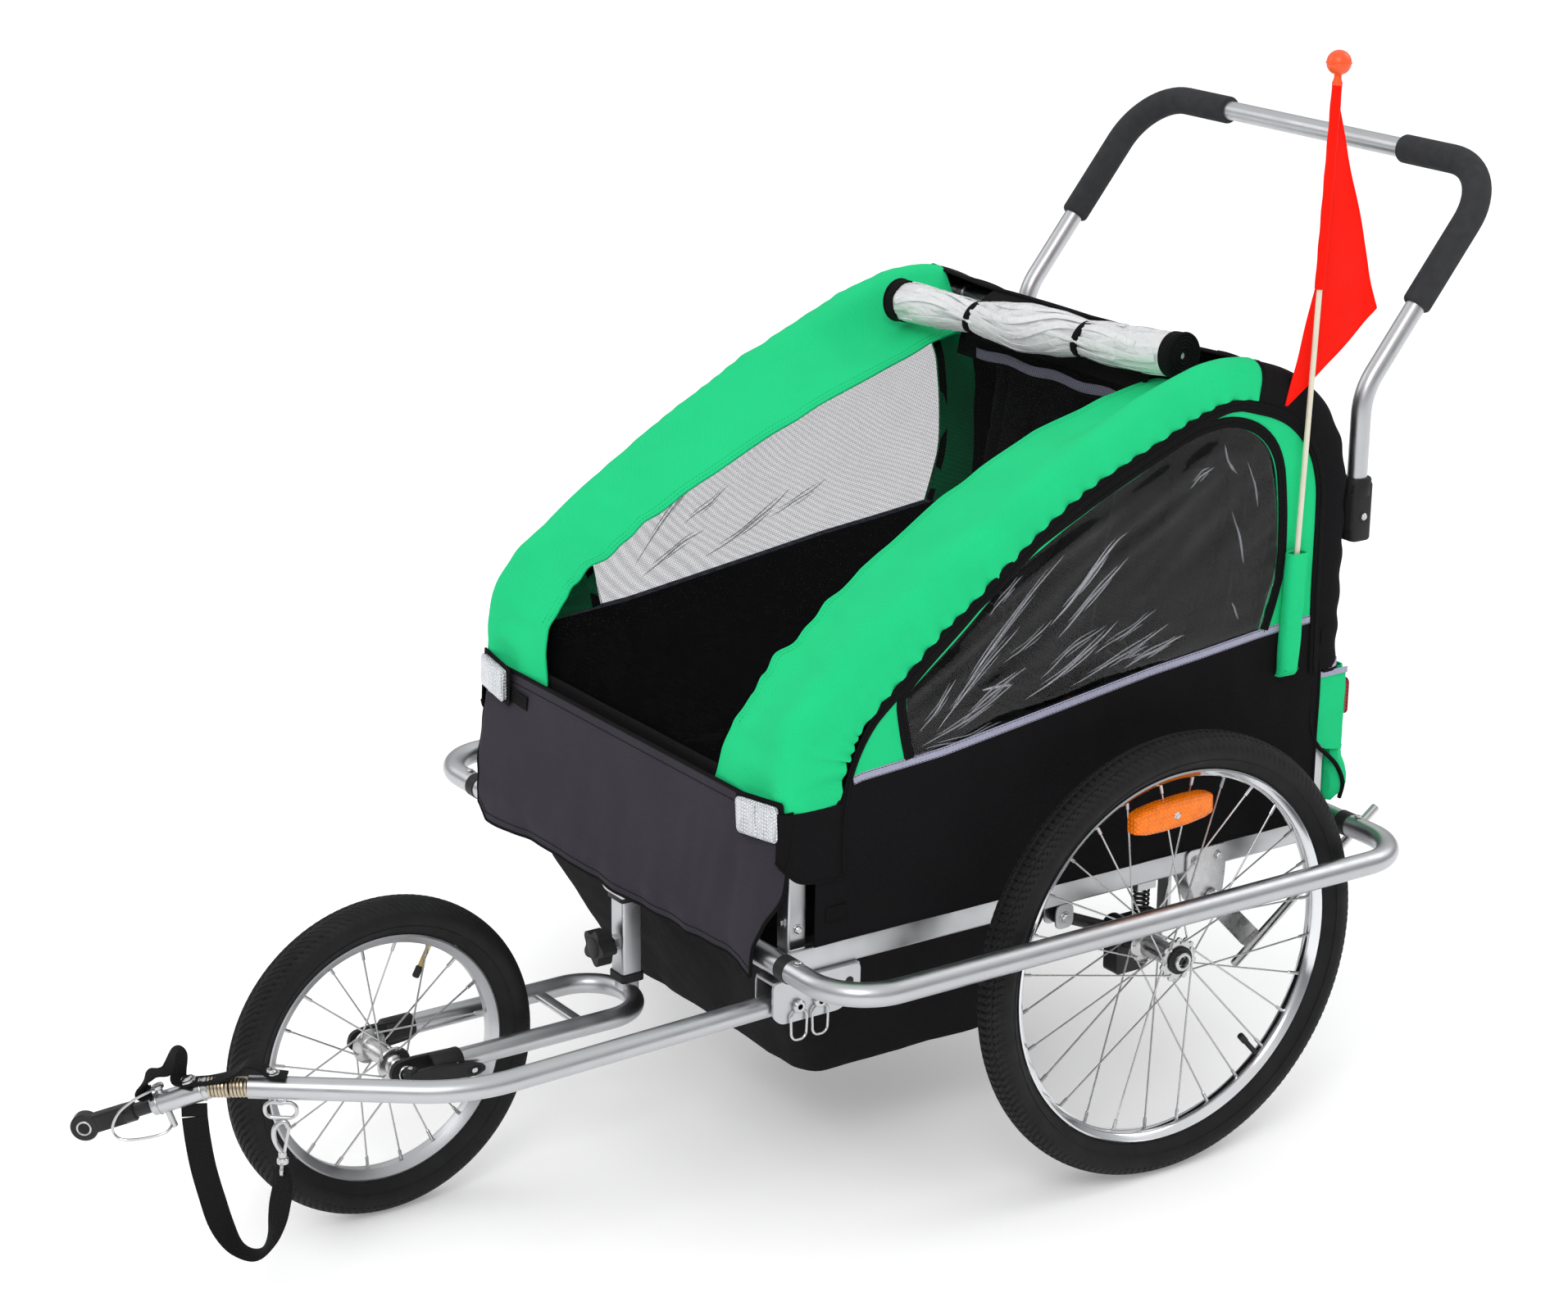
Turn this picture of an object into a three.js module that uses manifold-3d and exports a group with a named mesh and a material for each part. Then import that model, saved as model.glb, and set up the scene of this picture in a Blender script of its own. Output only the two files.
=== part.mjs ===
// A two-seat child bicycle trailer with a front jogging wheel, in millimetres.
// +X is the trailer's left side, -Y its front and +Z up. The tyres stand on z = 0.
// Inside the trailer group y counts from the rear axle; the group then centres the whole object.
import * as THREE from "three";
import { mergeVertices } from "three/addons/utils/BufferGeometryUtils.js";
import Module from "manifold-3d";

const wasm = await Module();
wasm.setup();

// ---------------------------------------------------------------- driving dimensions
const REAR_AXLE_Y = 304.07; // from the middle of the object's length
const GAP = 0.3; // between pieces that touch
const PLAY = 0.5; // around pieces that slide or turn

const REAR_WHEEL = {
  radius: 247.5,
  rimRadius: 209.5,
  boreRadius: 199,
  halfWidth: 23,
  rimHalf: 12.5,
  facets: 36,
};
const REAR_WHEEL_X = 371;
const FRONT_WHEEL = { radius: 174, rimRadius: 136, boreRadius: 125, halfWidth: 23, rimHalf: 11.5, facets: 32 };
const FRONT_AXLE_Y = -744;

const TUBE_R = 12.7; // cross tubes and bumpers
const FRAME_Z = 314; // axis of the cross tubes and bumpers
const FRONT_TUBE_Y = -449;
const REAR_TUBE_Y = 304;
const FRAME_HALF_WIDTH = 293.5;
const BUMPER_X = 415;
const BUMPER_BEND = 62;
const RAIL = { width: 20, bottom: 295, top: 323, front: -436, rear: 291 };
const POST = 22; // square posts of the body frame
const POST_X = FRAME_HALF_WIDTH - POST / 2;
const ARCH_TUBE_R = 10;

const BODY_HALF_WIDTH = 302; // outer face of the side fabric
const FABRIC = 2.5;
const SIDE_BOTTOM = 326.5;
const BACK_HEM_Z = 500; // lower edge of the black back cover
const SEAM_Y = 158; // where the green arch covers meet the black roof

const HANDLE_R = 11;
const HANDLE_Y = 305;
const HANDLE_LEG_BOTTOM = 645;
const HANDLE_KNEE_Z = 803;
const HANDLE_TOP = { y: 487, z: 1028 };
const HANDLE_BEND = 70;
const GRIP_R = 16;
const GRIP_END_X = 147;
const GRIP_LOW = { y: 375, z: 890 };
const LOCK_Z = 668;

const RECEIVER_HALF = 12.5;
const FORK_POST_HALF = 10;
const RECEIVER_Y = -445;
const RECEIVER = { bottom: 192, top: 301 };
const FORK_Z = 174;
const FORK_HALF = 51.5;
const FORK_TUBE_R = 11;
const AXLE_HALF = 55;
const FORK_SLEEVE = { front: -716, rear: -681 };
const FORK_BRACE_Y = -529;
const KNOB_Z = 235;

const SWING_PIVOT = { y: -80, z: 280 };
const SPRING_Y = 34;
const SPRING_TOP = 286.7;
const SPRING_BOTTOM = 258.3;

const BRAKE_PIVOT = { y: 122, z: 262 };

const TOW_X = 283;
const TOW_Z = 257; // of the level run; the arm rises a little from the bend to the bracket
const TOW_REAR = { y: -388, z: 266 };
const TOW_PIN_Z = 265.4;
const TOW_TUBE_R = 11.3;
const TOW_BEND_Y = -800;
const TOW_BEND = 150;
const TOW_ANGLE = THREE.MathUtils.degToRad(-127.2); // heading of the angled run, from +X
const TOW_RUN = 211; // bend to the spring coupling
const COUPLING_PITCH = THREE.MathUtils.degToRad(3);
const HITCH_PITCH = THREE.MathUtils.degToRad(20);
const COUPLING = { start: 6.5, end: 34.6, length: 38 }; // the coil's ends, then the pitch pivot
const SLEEVE = { start: 3.5, end: 60 };
const EYE_REACH = 131;
const TOW_PIN_YS = [-428, -402];

const POLE = { x: 311, y: 202.5, bottom: 512, top: 1136, lean: 0.0362, radius: 3 };

// ---------------------------------------------------------------- materials
const LOOKS = {
  aluminium: [0xb9bcc0, 0.35, 0.9],
  brightSteel: [0xc9cbcd, 0.25, 1],
  chrome: [0xd8dadc, 0.08, 1],
  blackPaint: [0x161618, 0.45, 0.2],
  blackPlastic: [0x1b1b1d, 0.6, 0],
  foam: [0x38383a, 0.9, 0],
  tyre: [0x1c1c1d, 0.85, 0],
  green: [0x2bc47c, 0.8, 0],
  blackFabric: [0x17161a, 0.9, 0],
  blackMesh: [0x121214, 0.95, 0],
  clearFilm: [0xc8cdd2, 0.1, 0],
  reflector: [0xd9dde0, 0.2, 0],
  pole: [0xd9d6c4, 0.5, 0],
  flag: [0xf0300c, 0.6, 0],
};

function look(name) {
  const [color, roughness, metalness] = LOOKS[name];
  return new THREE.MeshStandardMaterial({ color, roughness, metalness });
}

// ---------------------------------------------------------------- solids and booleans
function solidOf(geometry) {
  const loose = geometry.index ? geometry.toNonIndexed() : geometry.clone();
  loose.deleteAttribute("normal");
  loose.deleteAttribute("uv");
  const merged = mergeVertices(loose, 1e-3);
  const faces = [];
  const index = merged.index.array;
  for (let i = 0; i < index.length; i += 3) {
    const [a, b, c] = [index[i], index[i + 1], index[i + 2]];
    if (a !== b && b !== c && a !== c) faces.push([a, b, c]);
  }
  const build = (list) =>
    new wasm.Manifold(
      new wasm.Mesh({
        numProp: 3,
        vertProperties: merged.attributes.position.array,
        triVerts: new Uint32Array(list.flat()),
      }),
    );
  const made = build(faces);
  return made.volume() < 0 ? build(faces.map(([a, b, c]) => [a, c, b])) : made;
}

function geometryOf(solid) {
  const { numProp, vertProperties, triVerts } = solid.getMesh();
  const count = vertProperties.length / numProp;
  const positions = new Float32Array(count * 3);
  for (let i = 0; i < count; i++) positions.set(vertProperties.subarray(i * numProp, i * numProp + 3), i * 3);
  return new THREE.BufferGeometry()
    .setAttribute("position", new THREE.BufferAttribute(positions, 3))
    .setIndex(new THREE.BufferAttribute(new Uint32Array(triVerts), 1));
}

const join = (...pieces) => geometryOf(pieces.map(solidOf).reduce((a, b) => a.add(b)));
const cut = (body, ...tools) => geometryOf(tools.map(solidOf).reduce((a, b) => a.subtract(b), solidOf(body)));

// ---------------------------------------------------------------- shape helpers
const V = (x, y, z) => new THREE.Vector3(x, y, z);

function box(x0, x1, y0, y1, z0, z1) {
  const solid = new THREE.BoxGeometry(x1 - x0, y1 - y0, z1 - z0);
  return solid.translate((x0 + x1) / 2, (y0 + y1) / 2, (z0 + z1) / 2);
}

// A round bar from a to b.
function bar(a, b, radius, sides = 12) {
  const along = b.clone().sub(a);
  const turn = new THREE.Quaternion().setFromUnitVectors(V(0, 1, 0), along.clone().normalize());
  return new THREE.CylinderGeometry(radius, radius, along.length(), sides)
    .applyQuaternion(turn)
    .translate(...a.clone().add(b).multiplyScalar(0.5).toArray());
}

// An outline in the YZ plane, pushed from x0 to x1.
function plateX(outline, x0, x1) {
  const shape = new THREE.Shape(outline.map(([y, z]) => new THREE.Vector2(y, z)));
  const turned = new THREE.Matrix4().makeBasis(V(0, 1, 0), V(0, 0, 1), V(1, 0, 0));
  return new THREE.ExtrudeGeometry(shape, { depth: x1 - x0, bevelEnabled: false })
    .applyMatrix4(turned)
    .translate(x0, 0, 0);
}

// An outline in the XZ plane, pushed from y0 to y1.
function plateY(outline, y0, y1) {
  const shape = new THREE.Shape(outline.map(([x, z]) => new THREE.Vector2(x, z)));
  const turned = new THREE.Matrix4().makeBasis(V(1, 0, 0), V(0, 0, 1), V(0, -1, 0));
  return new THREE.ExtrudeGeometry(shape, { depth: y1 - y0, bevelEnabled: false })
    .applyMatrix4(turned)
    .translate(0, y1, 0);
}

// A profile of [radius, x] points turned about the X axis, with a flat facet at the bottom.
function turnedX(profile, facets) {
  const closed = profile[0][0] > 0 ? [...profile, profile[0]] : profile;
  const scale = 1 / Math.cos(Math.PI / facets);
  const points = closed.map(([radius, x]) => new THREE.Vector2(radius * scale, x));
  return new THREE.LatheGeometry(points, facets).rotateY(Math.PI / facets).rotateZ(-Math.PI / 2);
}

// Straight runs joined by round bends, with stations only where the path turns.
class BentPath extends THREE.Curve {
  constructor(corners, bend, arcSteps = 5) {
    super();
    this.stations = [];
    const mark = (point, tangent) => this.stations.push({ point, tangent: tangent.clone().normalize() });
    mark(corners[0], corners[1].clone().sub(corners[0]));
    for (let i = 1; i < corners.length - 1; i++) {
      const into = corners[i].clone().sub(corners[i - 1]).normalize();
      const out = corners[i + 1].clone().sub(corners[i]).normalize();
      const angle = into.angleTo(out);
      const reach = bend * Math.tan(angle / 2);
      const start = corners[i].clone().addScaledVector(into, -reach);
      const side = out.clone().addScaledVector(into, -out.dot(into)).normalize();
      for (let k = 0; k <= arcSteps; k++) {
        const turn = (angle * k) / arcSteps;
        const point = start
          .clone()
          .addScaledVector(into, bend * Math.sin(turn))
          .addScaledVector(side, bend * (1 - Math.cos(turn)));
        mark(point, into.clone().multiplyScalar(Math.cos(turn)).addScaledVector(side, Math.sin(turn)));
      }
    }
    const last = corners.length - 1;
    mark(corners[last], corners[last].clone().sub(corners[last - 1]));
  }
  get steps() {
    return this.stations.length - 1;
  }
  getPointAt(u) {
    return this.stations[Math.round(u * this.steps)].point.clone();
  }
  getTangentAt(u) {
    return this.stations[Math.round(u * this.steps)].tangent.clone();
  }
}

function polygon(radius, sides) {
  const points = [];
  for (let i = 0; i < sides; i++) {
    const angle = ((i + 0.5) * 2 * Math.PI) / sides;
    points.push(new THREE.Vector2(radius * Math.cos(angle), radius * Math.sin(angle)));
  }
  return new THREE.Shape(points);
}

function bentTube(corners, bend, radius, sides = 10, arcSteps = 5) {
  const extrudePath = new BentPath(corners, bend, arcSteps);
  return new THREE.ExtrudeGeometry(polygon(radius, sides), { extrudePath, steps: extrudePath.steps });
}

function curvedTube(points, radius, sides, steps) {
  const extrudePath = new THREE.CatmullRomCurve3(points);
  return new THREE.ExtrudeGeometry(polygon(radius, sides), { extrudePath, steps });
}

// Eight corners, the lower four then the upper four, each going round anticlockwise from above.
function block(corners) {
  const faces = [0, 2, 1, 0, 3, 2, 4, 5, 6, 4, 6, 7];
  for (let i = 0; i < 4; i++) {
    const next = (i + 1) % 4;
    faces.push(i, next, next + 4, i, next + 4, i + 4);
  }
  return new THREE.BufferGeometry()
    .setAttribute("position", new THREE.Float32BufferAttribute(corners.flat(), 3))
    .setIndex(faces);
}

function rectangle(halfX, y0, y1, z) {
  return [
    [-halfX, y0, z],
    [halfX, y0, z],
    [halfX, y1, z],
    [-halfX, y1, z],
  ];
}

// A sheet of even thickness behind a grid of outer-face points. Seen from outside, each row runs
// to the left and the next row lies above it.
function thickSheet(rows, thickness) {
  const [count, width] = [rows.length, rows[0].length];
  const inwardAt = (i, j) => {
    const along = rows[Math.min(i + 1, count - 1)][j].clone().sub(rows[Math.max(i - 1, 0)][j]);
    const across = rows[i][Math.min(j + 1, width - 1)].clone().sub(rows[i][Math.max(j - 1, 0)]);
    return across.cross(along).normalize();
  };
  const inner = rows.map((row, i) => row.map((p, j) => p.clone().addScaledVector(inwardAt(i, j), thickness)));
  const positions = [...rows.flat(), ...inner.flat()].flatMap((p) => p.toArray());
  const outerAt = (i, j) => i * width + j;
  const innerAt = (i, j) => count * width + i * width + j;
  const faces = [];
  const quad = (a, b, c, d) => faces.push(a, b, c, a, c, d);
  for (let i = 0; i < count - 1; i++) {
    for (let j = 0; j < width - 1; j++) {
      quad(outerAt(i, j), outerAt(i, j + 1), outerAt(i + 1, j + 1), outerAt(i + 1, j));
      quad(innerAt(i, j), innerAt(i + 1, j), innerAt(i + 1, j + 1), innerAt(i, j + 1));
    }
    quad(outerAt(i, 0), outerAt(i + 1, 0), innerAt(i + 1, 0), innerAt(i, 0));
    quad(outerAt(i, width - 1), innerAt(i, width - 1), innerAt(i + 1, width - 1), outerAt(i + 1, width - 1));
  }
  for (let j = 0; j < width - 1; j++) {
    quad(outerAt(0, j), innerAt(0, j), innerAt(0, j + 1), outerAt(0, j + 1));
    quad(outerAt(count - 1, j), outerAt(count - 1, j + 1), innerAt(count - 1, j + 1), innerAt(count - 1, j));
  }
  return new THREE.BufferGeometry()
    .setAttribute("position", new THREE.Float32BufferAttribute(positions, 3))
    .setIndex(faces);
}

const mirrored = (geometry) => geometry.clone().scale(-1, 1, 1);
const outward = (geometry) => geometryOf(solidOf(geometry));

// ---------------------------------------------------------------- scene graph
const trailer = new THREE.Group();
trailer.position.y = REAR_AXLE_Y;

function place(name, geometry, lookName, parent = trailer) {
  const mesh = new THREE.Mesh(outward(geometry), look(lookName));
  mesh.name = name;
  parent.add(mesh);
  return mesh;
}

// One piece for the left (+X) side and its mirror image for the right.
function placePair(name, geometry, lookName) {
  place("left_" + name, geometry, lookName);
  place("right_" + name, mirrored(geometry), lookName);
}

// ---------------------------------------------------------------- side profile of the body
// The crest of the arches in the YZ plane, from the front hem over the roof and down the back.
const CREST = new THREE.CatmullRomCurve3(
  [
    [-447, 474],
    [-441, 540],
    [-412, 588],
    [-370, 619],
    [-309, 663],
    [-181, 738],
    [-94, 783],
    [-10, 819],
    [60, 846],
    [115, 857],
    [165, 853],
    [225, 826],
    [268, 780],
    [288, 725],
    [291, 655],
    [291, 575],
    [291, BACK_HEM_Z],
  ].map(([y, z]) => V(0, y, z)),
);

// A point below the crest: u runs along the arch, depth is measured square to it.
function underCrest(u, x, depth) {
  const point = CREST.getPointAt(u);
  const tangent = CREST.getTangentAt(u);
  return V(x, point.y + tangent.z * depth, point.z - tangent.y * depth);
}

// The share of the crest's length at which it first reaches y.
function crestShare(y) {
  let u = 0;
  while (CREST.getPointAt(u).y < y) u += 0.001;
  return u;
}

const SEAM_U = crestShare(SEAM_Y);
const ARCH_TUBE_DEPTH = 21;
const ARCH_TUBE_END = 0.9; // share of the crest at which the tube enters the rear post
const SIDE_DEPTH = 54; // how far the covers come down the sides
const SIDE_DEPTH_FRONT = 65;
const SIDE_DEPTH_BACK = 45;

function sideDepth(u) {
  const front = THREE.MathUtils.lerp(SIDE_DEPTH_FRONT, SIDE_DEPTH, Math.min(u / 0.15, 1));
  return THREE.MathUtils.lerp(front, SIDE_DEPTH_BACK, THREE.MathUtils.smoothstep(u, 0.35, SEAM_U));
}

// Across a cover, from the side hem over the shoulder: [x, depth].
const shoulder = (u) => [
  [BODY_HALF_WIDTH, sideDepth(u)],
  [BODY_HALF_WIDTH, 16],
  [296, 5],
  [283, 0],
  [262, 3],
];

// The inner hem of a cover as [u, x, depth]. It dips where the rolled front cover lies on it.
const INNER_HEM = [
  [0, 170, 5],
  [0.05, 185, 13],
  [0.1, 187, 16],
  [0.2, 176, 19],
  [0.35, 158, 28],
  [0.47, 148, 36],
  [0.56, 156, 46],
  [0.65, 156, 48],
];

function innerHem(u) {
  const next = Math.max(1, INNER_HEM.findIndex(([share]) => share >= u));
  const [before, after] = [INNER_HEM[next - 1], INNER_HEM[next]];
  const t = (u - before[0]) / (after[0] - before[0]);
  return [THREE.MathUtils.lerp(before[1], after[1], t), THREE.MathUtils.lerp(before[2], after[2], t)];
}

function archCover() {
  const rows = [];
  const rowCount = 16;
  for (let i = 0; i <= rowCount; i++) {
    const u = (SEAM_U - 0.001) * (i / rowCount);
    const [innerX, innerDepth] = innerHem(u);
    const dip = THREE.MathUtils.smoothstep(u, 0.42, 0.53);
    const middle = [
      THREE.MathUtils.lerp((262 + innerX) / 2, 226, dip),
      THREE.MathUtils.lerp(innerDepth * 0.45 + 3, 34, dip),
    ];
    rows.push([...shoulder(u), middle, [innerX, innerDepth]].map(([x, depth]) => underCrest(u, x, depth)));
  }
  return thickSheet(rows, FABRIC);
}

function roofCover() {
  const rows = [];
  const rowCount = 13;
  for (let i = 0; i <= rowCount; i++) {
    const u = THREE.MathUtils.lerp(SEAM_U + 0.001, 1, i / rowCount);
    const half = shoulder(u);
    const across = [...half, [120, 5], [-120, 5], ...half.map(([x, depth]) => [-x, depth]).reverse()];
    rows.push(across.map(([x, depth]) => underCrest(u, x, depth)));
  }
  return thickSheet(rows, FABRIC);
}

// ---------------------------------------------------------------- frame
function suspensionMount() {
  const lugs = [RAIL_INNER, POST_X + 8].map((x) => box(x, x + 2.5, -92, -68, 266, RAIL.bottom + 1));
  const bolt = bar(V(271, SWING_PIVOT.y, SWING_PIVOT.z), V(296, SWING_PIVOT.y, SWING_PIVOT.z), 4);
  const springCap = box(RAIL_INNER + 1, RAIL_INNER + 19, SPRING_Y - 13, SPRING_Y + 13, 287, RAIL.bottom + 1);
  const guide = box(RAIL_INNER + 1, RAIL_INNER + 19, 64, 69, 240, RAIL.bottom + 1);
  return [...lugs, bolt, springCap, guide];
}

function towBracket() {
  const [front, rear] = [-458, -350];
  const plate = [
    [front, RAIL.bottom + 0.5],
    [front, 258],
    [front + 10, 248],
    [rear - 24, 248],
    [rear, 268],
    [rear, RAIL.bottom + 0.5],
  ];
  const web = box(266.5, 299.5, front, rear, 291, RAIL.bottom + 0.5);
  const bracket = join(web, plateX(plate, 266.5, 269.5), plateX(plate, 296.5, 299.5));
  const holes = TOW_PIN_YS.map((y) => bar(V(260, y, TOW_PIN_Z), V(305, y, TOW_PIN_Z), 4.5));
  const spareHole = bar(V(260, -364, 277), V(305, -364, 277), 5);
  return cut(bracket, ...holes, spareHole);
}

const RAIL_INNER = FRAME_HALF_WIDTH - RAIL.width;
const railBar = box(RAIL_INNER, FRAME_HALF_WIDTH, RAIL.front, RAIL.rear, RAIL.bottom, RAIL.top);
const suspendedRail = join(railBar, ...suspensionMount());
place("left_side_rail", join(suspendedRail, towBracket()), "aluminium");
place("right_side_rail", mirrored(suspendedRail), "aluminium");

function crossTube(y) {
  return bar(V(-FRAME_HALF_WIDTH + GAP, y, FRAME_Z), V(FRAME_HALF_WIDTH - GAP, y, FRAME_Z), TUBE_R);
}

// The fork receiver hangs under the front cross tube, with a nut for the clamp knob on its face.
function forkReceiver() {
  const [half, post] = [RECEIVER_HALF, FORK_POST_HALF + 0.4];
  const body = box(-half, half, RECEIVER_Y - half, RECEIVER_Y + half, RECEIVER.bottom, RECEIVER.top + 3);
  const bore = box(-post, post, RECEIVER_Y - post, RECEIVER_Y + post, RECEIVER.bottom - 1, RECEIVER.top - 6);
  const face = RECEIVER_Y - half;
  const nut = bar(V(0, face - 6, KNOB_Z), V(0, face + 1, KNOB_Z), 9, 6);
  const screwHole = bar(V(0, face - 8, KNOB_Z), V(0, face + 3, KNOB_Z), 4 + PLAY);
  return cut(join(body, nut), bore, screwHole);
}

place("front_cross_tube", join(crossTube(FRONT_TUBE_Y), forkReceiver()), "aluminium");
place("rear_cross_tube", crossTube(REAR_TUBE_Y), "aluminium");

const bumperCorners = [
  V(FRAME_HALF_WIDTH + GAP, FRONT_TUBE_Y, FRAME_Z),
  V(BUMPER_X, FRONT_TUBE_Y, FRAME_Z),
  V(BUMPER_X, REAR_TUBE_Y, FRAME_Z),
  V(FRAME_HALF_WIDTH + GAP, REAR_TUBE_Y, FRAME_Z),
];
placePair("bumper", bentTube(bumperCorners, BUMPER_BEND, TUBE_R, 10, 5), "aluminium");

// The arch tube runs between a front and a rear square post.
function archFrame() {
  const points = [];
  const pointCount = 18;
  for (let i = 0; i <= pointCount; i++) {
    const u = THREE.MathUtils.lerp(0.002, ARCH_TUBE_END, i / pointCount);
    points.push(underCrest(u, POST_X, ARCH_TUBE_DEPTH));
  }
  const tube = curvedTube(points, ARCH_TUBE_R, 8, 24);
  const postAt = (y, top) =>
    box(POST_X - POST / 2, POST_X + POST / 2, y - POST / 2, y + POST / 2, RAIL.top + GAP, top);
  return join(tube, postAt(-425, 486), postAt(270, 640));
}

placePair("arch_frame", archFrame(), "aluminium");

const roofTubeCentre = underCrest(crestShare(205), 0, ARCH_TUBE_DEPTH);
const roofTubeHalf = POST_X - ARCH_TUBE_R - GAP;
place(
  "roof_cross_tube",
  bar(
    V(-roofTubeHalf, roofTubeCentre.y, roofTubeCentre.z),
    V(roofTubeHalf, roofTubeCentre.y, roofTubeCentre.z),
    ARCH_TUBE_R - 1,
  ),
  "aluminium",
);

// ---------------------------------------------------------------- rear wheels and suspension
function tyre(wheel) {
  const { radius, rimRadius, halfWidth, facets } = wheel;
  const seat = rimRadius + GAP;
  const side = (radius + seat) / 2;
  const profile = [
    [seat, -12],
    [seat, 12],
    [side, halfWidth],
    [radius - 6, halfWidth - 6],
    [radius, 8],
    [radius, -8],
    [radius - 6, 6 - halfWidth],
    [side, -halfWidth],
  ];
  return turnedX(profile, facets);
}

function rim(wheel) {
  const { rimRadius, boreRadius, rimHalf, facets } = wheel;
  const profile = [
    [boreRadius, -6],
    [boreRadius, 6],
    [boreRadius + 6, rimHalf],
    [rimRadius, rimHalf],
    [rimRadius, -rimHalf],
    [boreRadius + 6, -rimHalf],
  ];
  return turnedX(profile, facets);
}

// A hub with its laced spokes. Each flange carries half of them, leaving its rim at a slant.
function lacedHub({ flanges, flangeRadius, barrelRadius, ends, endRadius, boreRadius, reach, spokes, lean }) {
  const [left, right] = ends;
  const [inner, outer] = flanges;
  const profile = [
    [boreRadius, left],
    [endRadius, left],
    [endRadius, inner - 2.5],
    [flangeRadius, inner - 2],
    [flangeRadius, inner + 2],
    [barrelRadius, inner + 4],
    [barrelRadius, outer - 4],
    [flangeRadius, outer - 2],
    [flangeRadius, outer + 2],
    [endRadius, outer + 2.5],
    [endRadius, right],
    [boreRadius, right],
  ];
  const parts = [turnedX(profile, 16)];
  for (let i = 0; i < spokes; i++) {
    const angle = ((i + 0.5) * 2 * Math.PI) / spokes;
    const flange = i % 2 ? inner : outer;
    const lace = i % 4 < 2 ? 1 : -1;
    const twist = lean * lace;
    const root = flangeRadius - 3;
    const from = V(flange + 2.6 * lace, root * Math.cos(angle + twist), root * Math.sin(angle + twist));
    const to = V(0, reach * Math.cos(angle), reach * Math.sin(angle));
    parts.push(bar(from, to, 1.1, 4));
  }
  return join(...parts);
}

function rearHub() {
  const hub = lacedHub({
    flanges: [-36, 16],
    flangeRadius: 22,
    barrelRadius: 12,
    ends: [-44, 25],
    endRadius: 10,
    boreRadius: 6.7,
    reach: REAR_WHEEL.boreRadius - 0.6,
    spokes: 28,
    lean: 1.1,
  });
  // The spoke reflector clips across the spokes near the top of the wheel.
  const reflector = [
    [-58, 142],
    [-52, 161],
    [-22, 174],
    [22, 174],
    [52, 161],
    [58, 142],
    [22, 147],
    [-22, 147],
  ];
  return join(hub, plateX(reflector, -6, 12));
}

function rearWheel(side, sign) {
  const hubs = new THREE.Group();
  hubs.position.set(sign * REAR_WHEEL_X, 0, REAR_WHEEL.radius);
  trailer.add(hubs);
  const facing = (geometry) => (sign > 0 ? geometry : mirrored(geometry));
  place(side + "_tyre", tyre(REAR_WHEEL), "tyre", hubs);
  place(side + "_rim", rim(REAR_WHEEL), "chrome", hubs);
  place(side + "_hub_and_spokes", facing(rearHub()), "brightSteel", hubs);
}

rearWheel("left", 1);
rearWheel("right", -1);

function swingArm() {
  const axleZ = REAR_WHEEL.radius;
  const eye = bar(V(276.5, SWING_PIVOT.y, SWING_PIVOT.z), V(289.5, SWING_PIVOT.y, SWING_PIVOT.z), 9);
  const arm = bar(V(283.5, SWING_PIVOT.y, SWING_PIVOT.z), V(283.5, -4, 247), 6.8);
  const seat = box(275, 292, -10, 57, 222, 258);
  const boss = bar(V(275, 0, axleZ), V(316, 0, axleZ), 15);
  const web = box(288, 310, -20, 20, 205, 240);
  const axle = bar(V(300, 0, axleZ), V(394, 0, axleZ), 6);
  const pivotBore = bar(V(270, SWING_PIVOT.y, SWING_PIVOT.z), V(297, SWING_PIVOT.y, SWING_PIVOT.z), 4.6);
  const buttonBore = bar(V(381, 0, axleZ), V(396, 0, axleZ), 4.6);
  return cut(join(eye, arm, seat, boss, web, axle), pivotBore, buttonBore);
}

placePair("swing_arm", swingArm(), "blackPaint");
placePair("axle_button", bar(V(387, 0, REAR_WHEEL.radius), V(397, 0, REAR_WHEEL.radius), 4), "blackPlastic");

// A coil spring's outer shape: a ribbed post standing along Z.
function ribbed(length, coils, outer, inner) {
  const profile = [[0, 0]];
  for (let i = 0; i < coils; i++) {
    const pitch = length / coils;
    profile.push([inner, i * pitch], [outer, (i + 0.3) * pitch], [outer, (i + 0.7) * pitch]);
  }
  profile.push([inner, length], [0, length]);
  const points = profile.map(([radius, along]) => new THREE.Vector2(radius, along));
  return new THREE.LatheGeometry(points, 10).rotateX(Math.PI / 2);
}

const springBody = ribbed(SPRING_TOP - SPRING_BOTTOM, 5, 9.5, 8);
const suspensionSpring = springBody.translate(283.5, SPRING_Y, SPRING_BOTTOM);
placePair("suspension_spring", suspensionSpring, "brightSteel");

// ---------------------------------------------------------------- front wheel and fork
const frontWheel = new THREE.Group();
frontWheel.position.set(0, FRONT_AXLE_Y, FRONT_WHEEL.radius);
trailer.add(frontWheel);
place("front_tyre", tyre(FRONT_WHEEL), "tyre", frontWheel);
place("front_rim", rim(FRONT_WHEEL), "aluminium", frontWheel);
const frontHub = lacedHub({
  flanges: [-27, 27],
  flangeRadius: 19,
  barrelRadius: 10,
  ends: [-36, 36],
  endRadius: 9,
  boreRadius: 5.7,
  reach: FRONT_WHEEL.boreRadius - 0.6,
  spokes: 20,
  lean: 0.9,
});
place("front_hub_and_spokes", frontHub, "brightSteel", frontWheel);

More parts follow.
